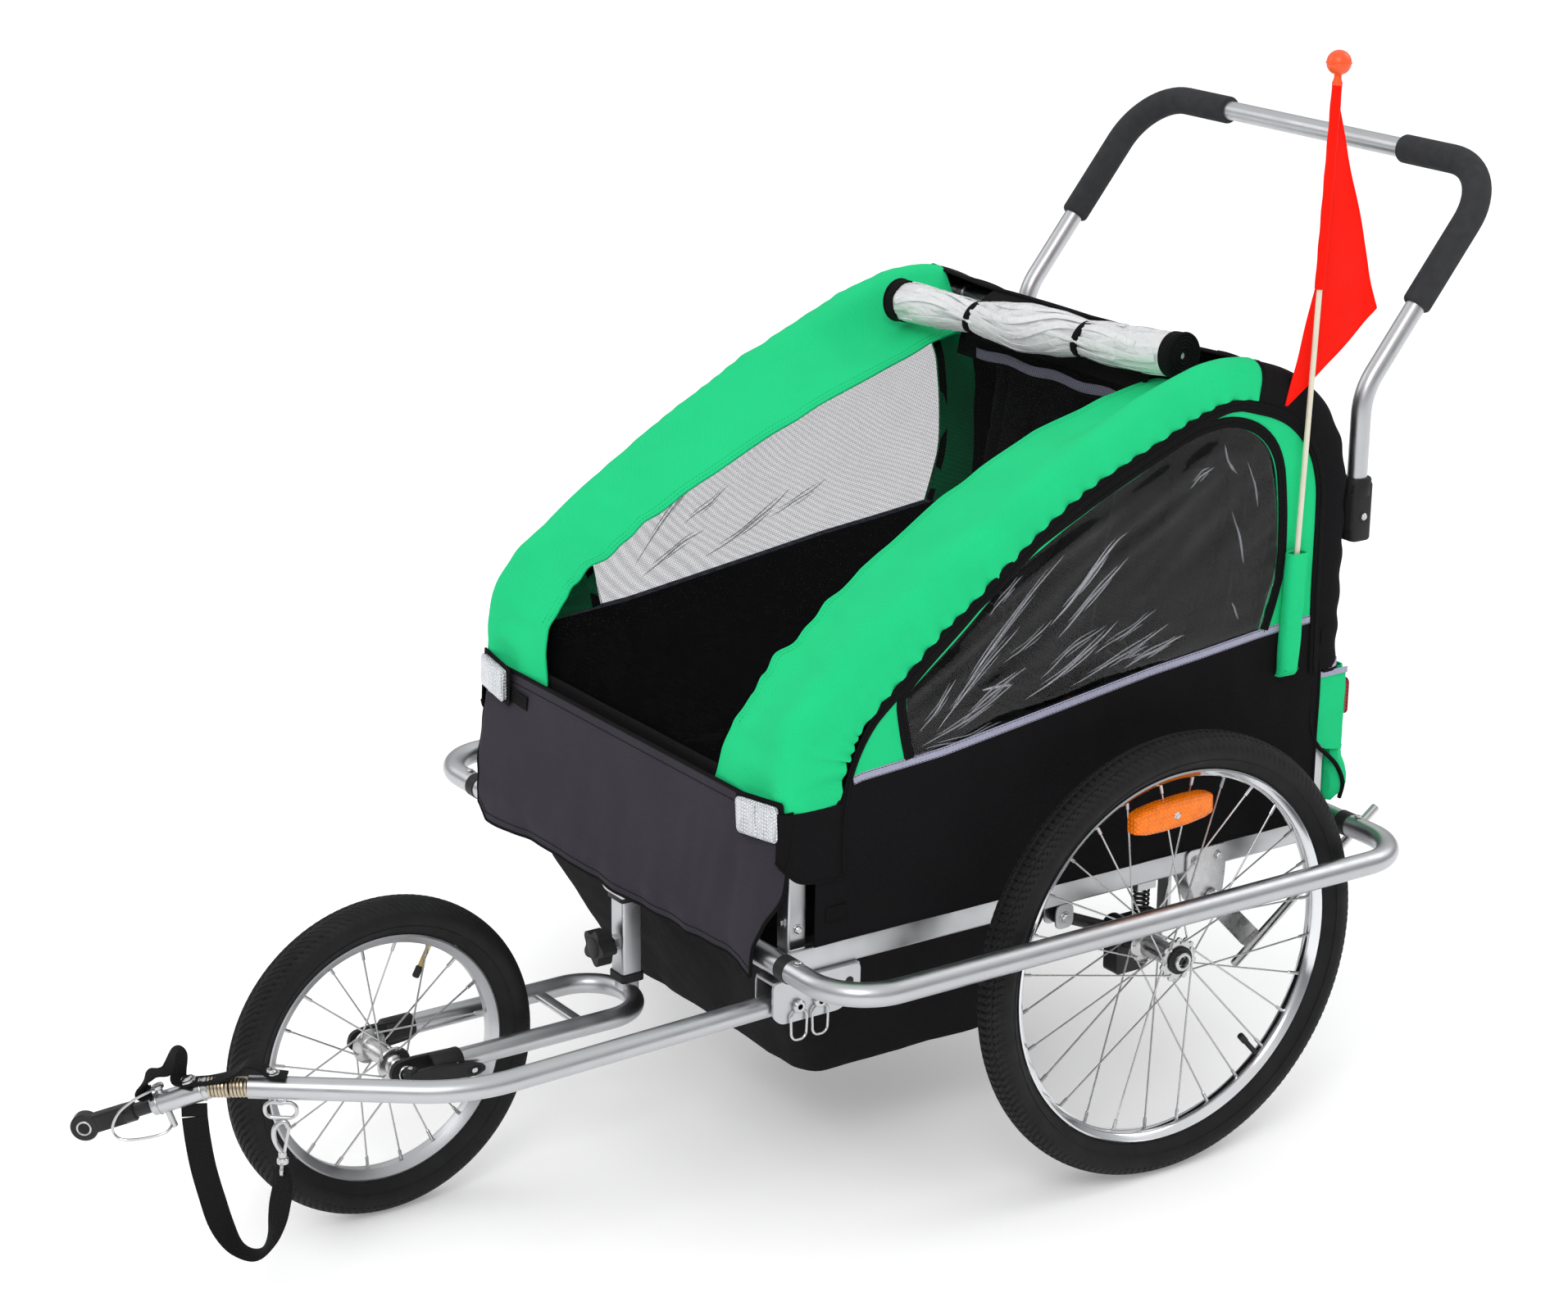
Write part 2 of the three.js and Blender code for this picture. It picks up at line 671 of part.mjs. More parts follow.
// The end piece of a fork leg: a sleeve round the tube and a plate that carries the axle.
function dropout() {
  const { front, rear } = FORK_SLEEVE;
  const socket = bar(V(FORK_HALF, front, FORK_Z), V(FORK_HALF, rear, FORK_Z), 13.5);
  const axleZ = FRONT_WHEEL.radius;
  const plate = [
    [rear - 4, FORK_Z - 13],
    [rear - 4, FORK_Z + 11],
    [FRONT_AXLE_Y + 8, axleZ + 13],
    [FRONT_AXLE_Y - 12, axleZ + 10],
    [FRONT_AXLE_Y - 16, axleZ - 6],
    [FRONT_AXLE_Y - 4, axleZ - 13],
    [front, FORK_Z - 15],
  ];
  return join(socket, plateX(plate, FORK_HALF - 8.5, FORK_HALF - 1.5));
}

function fork() {
  const legs = bentTube(
    [
      V(FORK_HALF, FORK_SLEEVE.front + 4, FORK_Z),
      V(FORK_HALF, RECEIVER_Y, FORK_Z),
      V(-FORK_HALF, RECEIVER_Y, FORK_Z),
      V(-FORK_HALF, FORK_SLEEVE.front + 4, FORK_Z),
    ],
    FORK_HALF - 0.2,
    FORK_TUBE_R,
    12,
    7,
  );
  const half = FORK_POST_HALF;
  const post = box(-half, half, RECEIVER_Y - half, RECEIVER_Y + half, FORK_Z, RECEIVER.top - 9);
  const braceHalf = FORK_HALF - 5;
  const brace = box(-braceHalf, braceHalf, FORK_BRACE_Y - 7, FORK_BRACE_Y + 7, FORK_Z - 3, FORK_Z + 3);
  const axleAt = (x) => V(x, FRONT_AXLE_Y, FRONT_WHEEL.radius);
  const axle = bar(axleAt(-AXLE_HALF), axleAt(AXLE_HALF), 5);
  return join(legs, post, brace, axle, dropout(), mirrored(dropout()));
}

place("front_fork", fork(), "aluminium");

// The cam turns on an upright pin at the left axle end; its lever lies back beside the fork leg.
function releaseLever() {
  const [x, y, z] = [AXLE_HALF + 8, FRONT_AXLE_Y, FRONT_WHEEL.radius];
  const cam = bar(V(x, y, z - 9), V(x, y, z + 9), 7.5);
  const grip = [
    [y, z - 8],
    [y + 40, z - 8],
    [y + 76, z - 13],
    [y + 84, z - 7],
    [y + 74, z + 1],
    [y + 36, z + 7],
    [y, z + 8],
  ];
  return join(cam, plateX(grip, x + 3, x + 9));
}

place("release_lever", releaseLever(), "blackPlastic");

// A five-lobed clamp knob whose screw stops just short of the fork post.
function clampKnob() {
  const face = RECEIVER_Y - RECEIVER_HALF;
  const outline = [];
  const points = 30;
  for (let i = 0; i < points; i++) {
    const angle = (i * 2 * Math.PI) / points;
    const radius = 18 + 3.5 * Math.cos(5 * angle);
    outline.push([radius * Math.cos(angle), KNOB_Z + radius * Math.sin(angle)]);
  }
  const head = plateY(outline, face - 30, face - 12);
  const neck = bar(V(0, face - 13, KNOB_Z), V(0, face - 7, KNOB_Z), 9);
  const screw = bar(V(0, face - 10, KNOB_Z), V(0, face + 1.8, KNOB_Z), 4);
  return join(head, neck, screw);
}

place("clamp_knob", clampKnob(), "blackPlastic");

// ---------------------------------------------------------------- push handle
function handlebar() {
  const leg = (sign) => [
    V(sign * FRAME_HALF_WIDTH, HANDLE_Y, HANDLE_LEG_BOTTOM),
    V(sign * FRAME_HALF_WIDTH, HANDLE_Y, HANDLE_KNEE_Z),
    V(sign * FRAME_HALF_WIDTH, HANDLE_TOP.y, HANDLE_TOP.z),
  ];
  const bow = bentTube([...leg(1), ...leg(-1).reverse()], HANDLE_BEND, HANDLE_R, 10, 5);
  // A slot up from each end clears the lock button.
  const slot = box(295, 306, HANDLE_Y - 4.8, HANDLE_Y + 4.8, HANDLE_LEG_BOTTOM - 1, LOCK_Z + 6);
  return cut(bow, slot, mirrored(slot));
}

place("handlebar", handlebar(), "aluminium");

function grip() {
  const corner = V(FRAME_HALF_WIDTH, HANDLE_TOP.y, HANDLE_TOP.z);
  const low = V(FRAME_HALF_WIDTH, GRIP_LOW.y, GRIP_LOW.z);
  const slope = corner.clone().sub(low).normalize();
  const end = V(GRIP_END_X, HANDLE_TOP.y, HANDLE_TOP.z);
  const foam = bentTube([low, corner, end], HANDLE_BEND, GRIP_R, 10, 5);
  const boreLow = low.clone().addScaledVector(slope, -5);
  const bore = bentTube([boreLow, corner, end.clone().setX(GRIP_END_X - 5)], HANDLE_BEND, HANDLE_R + 1, 10, 5);
  return cut(foam, bore);
}

placePair("grip", grip(), "foam");

function handleBracket() {
  const shell = box(FRAME_HALF_WIDTH - 14, FRAME_HALF_WIDTH + 14, HANDLE_Y - 13.5, HANDLE_Y + 14.5, 640, 705);
  const bore = bar(
    V(FRAME_HALF_WIDTH, HANDLE_Y, HANDLE_LEG_BOTTOM - GAP),
    V(FRAME_HALF_WIDTH, HANDLE_Y, 706),
    HANDLE_R + 1,
  );
  const buttonHole = bar(V(300, HANDLE_Y, LOCK_Z), V(310, HANDLE_Y, LOCK_Z), 4.6);
  return cut(shell, bore, buttonHole);
}

placePair("handle_bracket", handleBracket(), "blackPlastic");
placePair("handle_lock_button", bar(V(299.5, HANDLE_Y, LOCK_Z), V(310, HANDLE_Y, LOCK_Z), 4), "brightSteel");

// ---------------------------------------------------------------- parking brake, left side
function brakeBracket() {
  const plate = [
    [86, 321],
    [86, 290],
    [106, 250],
    [138, 250],
    [142, 290],
    [142, 321],
  ];
  const spacer = box(RAIL_INNER - 0.5, FRAME_HALF_WIDTH + 0.5, 110, 138, 276, 290);
  const pin = bar(V(268, BRAKE_PIVOT.y, BRAKE_PIVOT.z), V(306, BRAKE_PIVOT.y, BRAKE_PIVOT.z), 4);
  const outer = plateX(plate, FRAME_HALF_WIDTH + GAP, FRAME_HALF_WIDTH + 3);
  const inner = plateX(plate, RAIL_INNER - 3, RAIL_INNER - GAP);
  return join(outer, inner, spacer, pin);
}

function brakePedal() {
  const arm = plateX(
    [
      [112, 254],
      [122, 273],
      [133, 266],
      [196, 203],
      [186, 190],
      [172, 192],
    ],
    297,
    300,
  );
  const rod = bar(V(302, 156, 174), V(302, 358, 320), 5, 10);
  const eye = bar(V(297, BRAKE_PIVOT.y, BRAKE_PIVOT.z), V(304, BRAKE_PIVOT.y, BRAKE_PIVOT.z), 9);
  const bore = bar(V(290, BRAKE_PIVOT.y, BRAKE_PIVOT.z), V(310, BRAKE_PIVOT.y, BRAKE_PIVOT.z), 4.6);
  return cut(join(arm, eye, rod), bore);
}

place("brake_bracket", brakeBracket(), "brightSteel");
place("brake_pedal", brakePedal(), "brightSteel");

// ---------------------------------------------------------------- tow arm and hitch
const towHeading = V(Math.cos(TOW_ANGLE), Math.sin(TOW_ANGLE), 0);
const towBend = V(TOW_X, TOW_BEND_Y, TOW_Z);
const towEnd = towBend.clone().addScaledVector(towHeading, TOW_RUN);
const towPlane = (run, z) => towBend.clone().addScaledVector(towHeading, run).setZ(z);
const RING_RUN = 181;

function towArm() {
  const tube = bentTube([V(TOW_X, TOW_REAR.y, TOW_REAR.z), towBend, towEnd], TOW_BEND, TOW_TUBE_R, 12, 5);
  const holes = TOW_PIN_YS.map((y) => bar(V(260, y, TOW_PIN_Z), V(310, y, TOW_PIN_Z), 4.5));
  const lug = towPlane(RING_RUN, TOW_Z - TOW_TUBE_R - 2);
  const ringLug = bar(lug, lug.clone().setZ(TOW_Z - 5), 4, 8);
  return cut(join(tube, ringLug), ...holes);
}

place("tow_arm", towArm(), "aluminium");

// A quick pin along +X: a shaft, a head, and a wire pull that starts and ends inside the head.
function pullPin(length, radius, headRadius, pull, bend) {
  const shaft = bar(V(0, 0, 0), V(length, 0, 0), radius);
  const head = bar(V(length - 5, 0, 0), V(length, 0, 0), headRadius);
  return join(shaft, head, bentTube(pull, bend, 1.4, 6, 4));
}

TOW_PIN_YS.forEach((y, i) => {
  const x = 44.5;
  const pull = [V(x, 0, 0), V(x, -9, -8), V(x, -9, -38), V(x, 9, -38), V(x, 9, -8), V(x, 0.5, 0)];
  const pin = pullPin(47, 4, 7, pull, 5).translate(258, y, TOW_PIN_Z);
  place(["tow_pin_front", "tow_pin_rear"][i], pin, "brightSteel");
});

// The coupling and the hitch each lie along local +X of their own group, nose down by their pitch.
function hitchGroup(position, pitch) {
  const group = new THREE.Group();
  group.position.copy(position);
  group.rotation.set(0, pitch, TOW_ANGLE, "ZYX");
  trailer.add(group);
  return group;
}

const couplingSlope = V(Math.cos(COUPLING_PITCH), 0, -Math.sin(COUPLING_PITCH));
const couplingHeading = couplingSlope.applyAxisAngle(V(0, 0, 1), TOW_ANGLE);
const sleeveStart = towEnd.clone().addScaledVector(couplingHeading, COUPLING.length);
const coupling = hitchGroup(towEnd, COUPLING_PITCH);
const hitch = hitchGroup(sleeveStart, HITCH_PITCH);

const couplingCoil = ribbed(COUPLING.end - COUPLING.start, 6, 10, 8.6).rotateY(Math.PI / 2);
couplingCoil.translate(COUPLING.start, 0, 0);
place("coupling_spring", couplingCoil, "brightSteel", coupling);

const PIN_REACH = 48;
const hitchPinHole = bar(V(PIN_REACH, 0, -40), V(PIN_REACH, 0, 30), 4);
const sleeveBore = bar(V(15, 0, 0), V(SLEEVE.end + 5, 0, 0), 7.6);
const sleeve = cut(bar(V(SLEEVE.start, 0, 0), V(SLEEVE.end, 0, 0), 10.8), sleeveBore, hitchPinHole);
place("hitch_sleeve", sleeve, "aluminium", hitch);

function tongue() {
  const rod = bar(V(16, 0, 0), V(92, 0, 0), 7);
  const collar = bar(V(80, 0, 0), V(90, 0, 0), 10);
  const lug = box(88, EYE_REACH, -6, 6, -9.5, 9.5);
  const eye = bar(V(EYE_REACH, -6, 0), V(EYE_REACH, 6, 0), 14, 20);
  const hole = bar(V(EYE_REACH, -8, 0), V(EYE_REACH, 8, 0), 5.2, 16);
  return cut(join(rod, collar, lug, eye), hole, hitchPinHole);
}

place("hitch_tongue", tongue(), "blackPaint", hitch);

// Its wire pull lies open beside the tongue.
const pullSide = 13.5;
const hitchPull = [
  V(44.5, 0, 0),
  V(44.5, pullSide, -3),
  V(36, pullSide, -50),
  V(10, pullSide, -54),
  V(3, pullSide, -3),
  V(13, pullSide, -1),
];
const upright = new THREE.Matrix4().makeBasis(V(0, 0, 1), V(0, 1, 0), V(-1, 0, 0));
upright.setPosition(PIN_REACH, 0, -28);
place("hitch_pin", pullPin(47, 3.4, 6, hitchPull, 4.5).applyMatrix4(upright), "brightSteel", hitch);

// The snap hook hangs from the lug under the arm; the safety strap hangs in a loop to the sleeve.
function snapHook() {
  const top = TOW_Z - TOW_TUBE_R - 2 - GAP;
  const at = (z) => towPlane(RING_RUN, z);
  const sideways = (run, z) => towPlane(RING_RUN + run, z);
  const loop = [
    sideways(-1, top - 2),
    sideways(16, top - 2),
    sideways(16, top - 18),
    sideways(-16, top - 18),
    sideways(-16, top - 2),
    sideways(1, top - 2),
  ];
  const ring = bentTube(loop, 6, 2, 6, 3);
  const shank = bar(at(top - 16), at(167), 3.2, 8);
  const swivel = bar(at(182), at(176), 5.5, 10);
  return join(ring, shank, swivel);
}

place("snap_hook", snapHook(), "brightSteel");

// Hand-laid route of the strap: distance along the angled run of the arm, then height.
const STRAP_ROUTE = [
  [265, 223],
  [263, 199],
  [259, 170],
  [252, 139],
  [244, 110],
  [232, 87],
  [218, 77],
  [205, 79],
  [195, 95],
  [189, 115],
  [185, 135],
  [182, 150],
  [181, 166.5],
];
const strapPoints = STRAP_ROUTE.map(([run, z]) => towPlane(run, z));
place("safety_strap", curvedTube(strapPoints, 7, 8, 22), "blackFabric");

// ---------------------------------------------------------------- soft body
placePair("arch_cover", archCover(), "green");
place("roof_cover", roofCover(), "blackFabric");

// The side panel fills the side below the covers, from the front skirt to the back hem.
function sidePanel() {
  const corner = underCrest(0, 0, SIDE_DEPTH_FRONT + 1.2);
  const outline = [
    [-408, SIDE_BOTTOM],
    [-408, 392],
    [-440, 396],
    [-440, corner.z - 0.8],
    [corner.y, corner.z - 0.8],
  ];
  const steps = 22;
  for (let i = 1; i <= steps; i++) {
    const u = i / steps;
    const point = underCrest(u, 0, sideDepth(u) + 1.2);
    if (point.z > BACK_HEM_Z + 4 || point.y < 0) outline.push([point.y, point.z]);
  }
  outline.push([242, BACK_HEM_Z - 1], [244, 432], [258, 412], [266, 392], [266, SIDE_BOTTOM]);
  return plateX(outline, BODY_HALF_WIDTH - 3, BODY_HALF_WIDTH);
}

const poleAt = (z) => V(POLE.x, POLE.y + POLE.lean * (z - POLE.bottom), z);

// The left panel also carries the sewn flag pocket.
function flagPocket() {
  const pocket = box(BODY_HALF_WIDTH - 1, POLE.x + 6, 189, 221, 505, 640);
  return cut(pocket, bar(poleAt(POLE.bottom - GAP), poleAt(645), POLE.radius + 0.6));
}

place("left_side_panel", join(sidePanel(), flagPocket()), "blackFabric");
place("right_side_panel", mirrored(sidePanel()), "blackFabric");

// The skirt hangs in front of the posts and bulges over the front cross tube.
const SKIRT_PROFILE = [
  [-446.5, 472],
  [-449, 440],
  [-455, 390],
  [-463, 345],
  [-467, 330],
  [-467, 296],
];
const skirtXs = [-302, -180, 0, 180, 302];
const skirtRows = SKIRT_PROFILE.map(([y, z]) => skirtXs.map((x) => V(x, y, z)));
place("front_skirt", thickSheet(skirtRows, FABRIC), "blackFabric");

// Floor sheet and footwell tub, open at the top.
function footwell() {
  const tub = block([...rectangle(200, -347, -75, 122), ...rectangle(268, -433, -50, 317)]);
  const hollow = block([...rectangle(197, -344, -78, 125), ...rectangle(265.5, -430.5, -53, 318)]);
  const floor = box(-268, 268, -52, 286, 314, 317);
  return join(cut(tub, hollow), floor);
}

place("footwell_and_floor", footwell(), "blackFabric");

const SEAT_HALF = 262;
place("seat_cushion", box(-SEAT_HALF, SEAT_HALF, -40, 160, 345, 372), "blackMesh");
const seatBack = block([...rectangle(SEAT_HALF, 164, 186, 360), ...rectangle(SEAT_HALF, 232, 250, 765)]);
place("seat_back", seatBack, "blackMesh");

// The storage bag bulges out below the back cover.
const BAG_PROFILE = [
  [289, 497],
  [302, 492],
  [322, 450],
  [327, 400],
  [318, 352],
  [289, 342],
];
const WING_PROFILE = [
  [250, 495],
  [250, 437],
  [264, 416],
  [276, 404],
  [300, 404],
  [300, 495],
];
const bagWing = join(plateX(WING_PROFILE, 297.5, 301.5), box(284, 301.5, 289.5, 300, 404, 495));
place("rear_storage_bag", join(plateX(BAG_PROFILE, -285, 285), bagWing, mirrored(bagWing)), "green");

// The clear front cover, rolled up and tied in front of the roof.
place("cover_roll", bar(V(-206, 58, 838), V(222, 104, 856), 21, 16), "clearFilm");

placePair("front_reflector", box(231, 293, -459, -451, 437, 473), "reflector");

// ---------------------------------------------------------------- safety flag
place("flag_pole", bar(poleAt(POLE.bottom), poleAt(POLE.top), POLE.radius, 10), "pole");

function flag() {
  const [top, sleeveLow] = [1143, 930];
  const sleeve = bar(poleAt(sleeveLow), poleAt(top), 5.5, 10);
  const pennant = plateX(
    [
      [228, top],
      [309, 897],
      [184, 806],
      [216, sleeveLow],
      [220, top],
    ],
    POLE.x - 6.5,
    POLE.x - 5,
  );
  const stem = bar(poleAt(top - 1), poleAt(1156), 4, 10);
  const ball = new THREE.SphereGeometry(13, 12, 8).rotateX(Math.PI / 2).translate(...poleAt(1166).toArray());
  const bore = bar(poleAt(sleeveLow - 5), poleAt(POLE.top + GAP), POLE.radius + 0.5, 10);
  return cut(join(sleeve, pennant, stem, ball), bore);
}

place("flag", flag(), "flag");

export default trailer;
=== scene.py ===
"""Looks of a two-seat child bicycle trailer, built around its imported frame.

Shapes are worked out in millimetres, with y counted from the rear axle; piece() turns them into metres.
"""

import math

import bmesh
import bpy
import numpy as np
from mathutils import Matrix, Vector, noise


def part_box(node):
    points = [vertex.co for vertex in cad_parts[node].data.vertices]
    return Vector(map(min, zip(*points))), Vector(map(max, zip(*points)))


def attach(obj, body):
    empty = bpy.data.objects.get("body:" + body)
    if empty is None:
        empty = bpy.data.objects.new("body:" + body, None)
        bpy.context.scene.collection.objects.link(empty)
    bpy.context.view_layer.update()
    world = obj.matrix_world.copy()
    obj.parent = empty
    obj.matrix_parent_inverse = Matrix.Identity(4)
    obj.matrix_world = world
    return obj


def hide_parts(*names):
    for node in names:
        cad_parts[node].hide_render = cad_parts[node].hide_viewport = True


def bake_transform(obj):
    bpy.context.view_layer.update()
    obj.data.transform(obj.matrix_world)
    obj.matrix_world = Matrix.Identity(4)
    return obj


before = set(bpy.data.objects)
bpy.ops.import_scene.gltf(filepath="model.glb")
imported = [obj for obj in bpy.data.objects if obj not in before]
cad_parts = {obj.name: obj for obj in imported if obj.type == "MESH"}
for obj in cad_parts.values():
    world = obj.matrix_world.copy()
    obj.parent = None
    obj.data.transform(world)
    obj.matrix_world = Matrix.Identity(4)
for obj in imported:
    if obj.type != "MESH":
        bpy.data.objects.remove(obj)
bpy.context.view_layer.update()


def node_middle(name):
    low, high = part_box(name)
    return (low + high) / 2


METRES = 0.001
AXLE_Y = node_middle("left_tyre").y
REAR_HUB = Vector((371.0, 0.0, 247.5))
FRONT_HUB = Vector((0.0, -744.0, 174.0))
SIDE_X = 302.0  # outer face of the side fabric
ALL_SIDES = ("left", "right")


def metres(point):
    return Vector((point[0], point[1] + AXLE_Y / METRES, point[2])) * METRES


# ---------------------------------------------------------------- camera, light, floor
def make_camera():
    data = bpy.data.cameras.new("camera")
    data.lens = 81.3
    data.sensor_width = 36
    data.clip_end = 100
    camera = bpy.data.objects.new("camera", data)
    bpy.context.scene.collection.objects.link(camera)
    azimuth, elevation, roll = map(math.radians, (55.5454, 18.2918, 0.611))
    back = Vector((math.sin(azimuth) * math.cos(elevation), -math.cos(azimuth) * math.cos(elevation),
            math.sin(elevation)))
    level = Vector((math.cos(azimuth), math.sin(azimuth), 0))
    up = back.cross(level)
    right = level * math.cos(roll) + up * math.sin(roll)
    above = up * math.cos(roll) - level * math.sin(roll)
    turn = Matrix((right, above, back)).transposed()
    camera.matrix_world = Matrix.Translation((2.9978, -1.9964, 1.7230)) @ turn.to_4x4()
    bpy.context.scene.camera = camera


def make_lamp(name, place, aim, size, power, colour=(1, 1, 1)):
    data = bpy.data.lights.new(name, "AREA")
    data.shape = "DISK"
    data.size = size
    data.energy = power
    data.color = colour
    lamp = bpy.data.objects.new(name, data)
    lamp.location = place
    lamp.rotation_euler = (Vector(aim) - Vector(place)).to_track_quat("-Z", "Y").to_euler()
    bpy.context.scene.collection.objects.link(lamp)


def make_world():
    world = bpy.data.worlds.new("studio")
    bpy.context.scene.world = world
    world.use_nodes = True
    tree = world.node_tree
    place = tree.nodes.new("ShaderNodeTexCoord")
    split = tree.nodes.new("ShaderNodeSeparateXYZ")
    ramp = tree.nodes.new("ShaderNodeValToRGB")
    ramp.color_ramp.elements[0].position = 0.04
    ramp.color_ramp.elements[0].color = (0.22, 0.22, 0.23, 1)
    ramp.color_ramp.elements[1].position = 0.62
    ramp.color_ramp.elements[1].color = (1, 1, 1, 1)
    tree.links.new(place.outputs["Generated"], split.inputs[0])
    tree.links.new(split.outputs["Z"], ramp.inputs[0])
    background = tree.nodes["Background"]
    tree.links.new(ramp.outputs[0], background.inputs[0])
    background.inputs[1].default_value = 0.95


make_camera()
make_world()
make_lamp("key", (3.2, -3.0, 4.2), (0, 0, 0.4), 2.6, 95)
make_lamp("fill", (-3.6, -2.6, 3.0), (0, 0, 0.5), 3.0, 28)
make_lamp("rear", (1.0, 4.2, 3.6), (0, 0, 0.5), 3.0, 40)
bpy.context.scene.view_settings.view_transform = "Standard"


# ---------------------------------------------------------------- materials
class Look:
    """A Principled material whose colour, roughness and relief come from procedural textures."""

    def __init__(self, name, colour, roughness, metallic=0.0, stretch=(1, 1, 1), **fixed):
        self.material = bpy.data.materials.new(name)
        self.material.use_nodes = True
        self.tree = self.material.node_tree
        self.shader = self.tree.nodes["Principled BSDF"]
        self.colour, self.roughness = colour, roughness
        self.set("Metallic", metallic)
        for socket, value in fixed.items():
            self.set(socket.replace("_", " "), value)
        coordinates = self.tree.nodes.new("ShaderNodeTexCoord")
        mapping = self.tree.nodes.new("ShaderNodeMapping")
        mapping.inputs["Scale"].default_value = stretch
        self.link(coordinates.outputs["Object"], mapping.inputs[0])
        self.place = mapping.outputs[0]
        self.plain_place = coordinates.outputs["Object"]
        self.heights = []
        self.shade = None

    def set(self, socket, value):
        self.shader.inputs[socket].default_value = value

    def link(self, source, target):
        self.tree.links.new(source, target)

    def noise(self, size, detail=3.0, distortion=0.0):
        """Noise with features of about size millimetres, from 0 to 1."""
        node = self.tree.nodes.new("ShaderNodeTexNoise")
        node.inputs["Scale"].default_value = 1 / (size * METRES)
        node.inputs["Detail"].default_value = detail
        node.inputs["Distortion"].default_value = distortion
        self.link(self.place, node.inputs["Vector"])
        return node.outputs["Fac"]

    def maths(self, operation, *values):
        node = self.tree.nodes.new("ShaderNodeMath")
        node.operation = operation
        for socket, value in zip(node.inputs, values):
            if isinstance(value, (int, float)):
                socket.default_value = value
            else:
                self.link(value, socket)
        return node.outputs[0]

    def spread(self, value, low, high):
        """A 0 to 1 value stretched about its middle and moved to low..high."""
        node = self.tree.nodes.new("ShaderNodeMapRange")
        node.inputs["From Min"].default_value = 0.25
        node.inputs["From Max"].default_value = 0.75
        node.inputs["To Min"].default_value = low
        node.inputs["To Max"].default_value = high
        self.link(value, node.inputs["Value"])
        return node.outputs[0]

    def lattice(self, pitch):
        """Raised dots in rows, a plain weave on any surface: the product of waves along X, Y and Z."""
        split = self.tree.nodes.new("ShaderNodeSeparateXYZ")
        self.link(self.plain_place, split.inputs[0])
        waves = [self.maths("SINE", self.maths("MULTIPLY", axis, math.pi / (pitch * METRES)))
                for axis in split.outputs]
        pairs = [self.maths("MULTIPLY", waves[i], waves[(i + 1) % 3]) for i in range(3)]
        return self.maths("ADD", self.maths("ADD", pairs[0], pairs[1]), pairs[2])

    def vary(self, size, amount, detail=3.0):
        """Mottles the colour by plus or minus amount."""
        self.shade = self.combine(self.spread(self.noise(size, detail), 1 - amount, 1 + amount))
        return self

    def combine(self, factor):
        return factor if self.shade is None else self.maths("MULTIPLY", self.shade, factor)

    def relief(self, value, height):
        """Adds value times height, in millimetres, to the bump."""
        self.heights.append(self.maths("MULTIPLY", value, height * METRES))
        return self

    def grain(self, size, height, detail=2.0):
        return self.relief(self.noise(size, detail), height)

    def weave(self, pitch, height, contrast=0.12):
        dots = self.lattice(pitch)
        self.shade = self.combine(self.maths("MULTIPLY_ADD", dots, contrast, 1.0))
        return self.relief(dots, height)

    def wear(self, brighter=1.6):
        """Lightens convex edges."""
        geometry = self.tree.nodes.new("ShaderNodeNewGeometry")
        ramp = self.tree.nodes.new("ShaderNodeMapRange")
        ramp.inputs["From Min"].default_value = 0.53
        ramp.inputs["From Max"].default_value = 0.62
        ramp.inputs["To Min"].default_value = 1.0
        ramp.inputs["To Max"].default_value = brighter
        self.link(geometry.outputs["Pointiness"], ramp.inputs["Value"])
        self.shade = self.combine(ramp.outputs[0])
        return self

    def done(self, rough_size=30, rough_span=0.1):
        tint = self.tree.nodes.new("ShaderNodeVectorMath")
        tint.operation = "SCALE"
        tint.inputs[0].default_value = self.colour
        if self.shade is not None:
            self.link(self.shade, tint.inputs["Scale"])
        self.link(tint.outputs[0], self.shader.inputs["Base Color"])
        low, high = self.roughness - rough_span / 2, self.roughness + rough_span / 2
        self.link(self.spread(self.noise(rough_size, 4.0), max(low, 0.02), min(high, 1)),
                self.shader.inputs["Roughness"])
        if self.heights:
            total = self.heights[0]
            for height in self.heights[1:]:
                total = self.maths("ADD", total, height)
            bump = self.tree.nodes.new("ShaderNodeBump")
            bump.inputs["Distance"].default_value = 1.0
            self.link(total, bump.inputs["Height"])
            self.link(bump.outputs[0], self.shader.inputs["Normal"])
        return self.material


def fabric(name, colour, roughness=0.85, pitch=1.1, relief=0.06, sheen=0.02, tint=(1, 1, 1, 1), mottle=0.1,
        contrast=0.08):
    fixed = {"Sheen_Weight": sheen, "Sheen_Roughness": 0.45, "Sheen_Tint": tint, "Specular_IOR_Level": 0.1}
    look = Look(name, colour, roughness, **fixed)
    return look.vary(60, mottle).weave(pitch, relief, contrast).grain(14, 0.5).done()


DULL = {"Specular_IOR_Level": 0.22}
ALUMINIUM = Look("aluminium", (0.50, 0.505, 0.52), 0.36, 1.0).vary(90, 0.05).grain(0.9, 0.01).done(25, 0.14)
STEEL = Look("steel", (0.52, 0.52, 0.525), 0.28, 1.0).vary(20, 0.07).grain(1.2, 0.01).done(12, 0.14)
CHROME = Look("chrome", (0.70, 0.71, 0.73), 0.13, 1.0).vary(60, 0.05).grain(60, 0.05).done(40, 0.08)
BLACK_PAINT = Look("black_paint", (0.010, 0.010, 0.011), 0.4, Coat_Weight=0.1, **DULL).vary(25,
        0.2).grain(1.6, 0.03).wear(2.2).done(20, 0.16)
BLACK_PLASTIC = Look("black_plastic", (0.012, 0.012, 0.013), 0.5, **DULL).vary(20, 0.12).grain(0.8,
        0.05).wear(1.7).done(15, 0.14)
FOAM = Look("foam", (0.036, 0.037, 0.040), 0.95, **DULL).vary(12, 0.15).grain(1.4, 0.28).grain(5,
        0.2).done(10, 0.06)
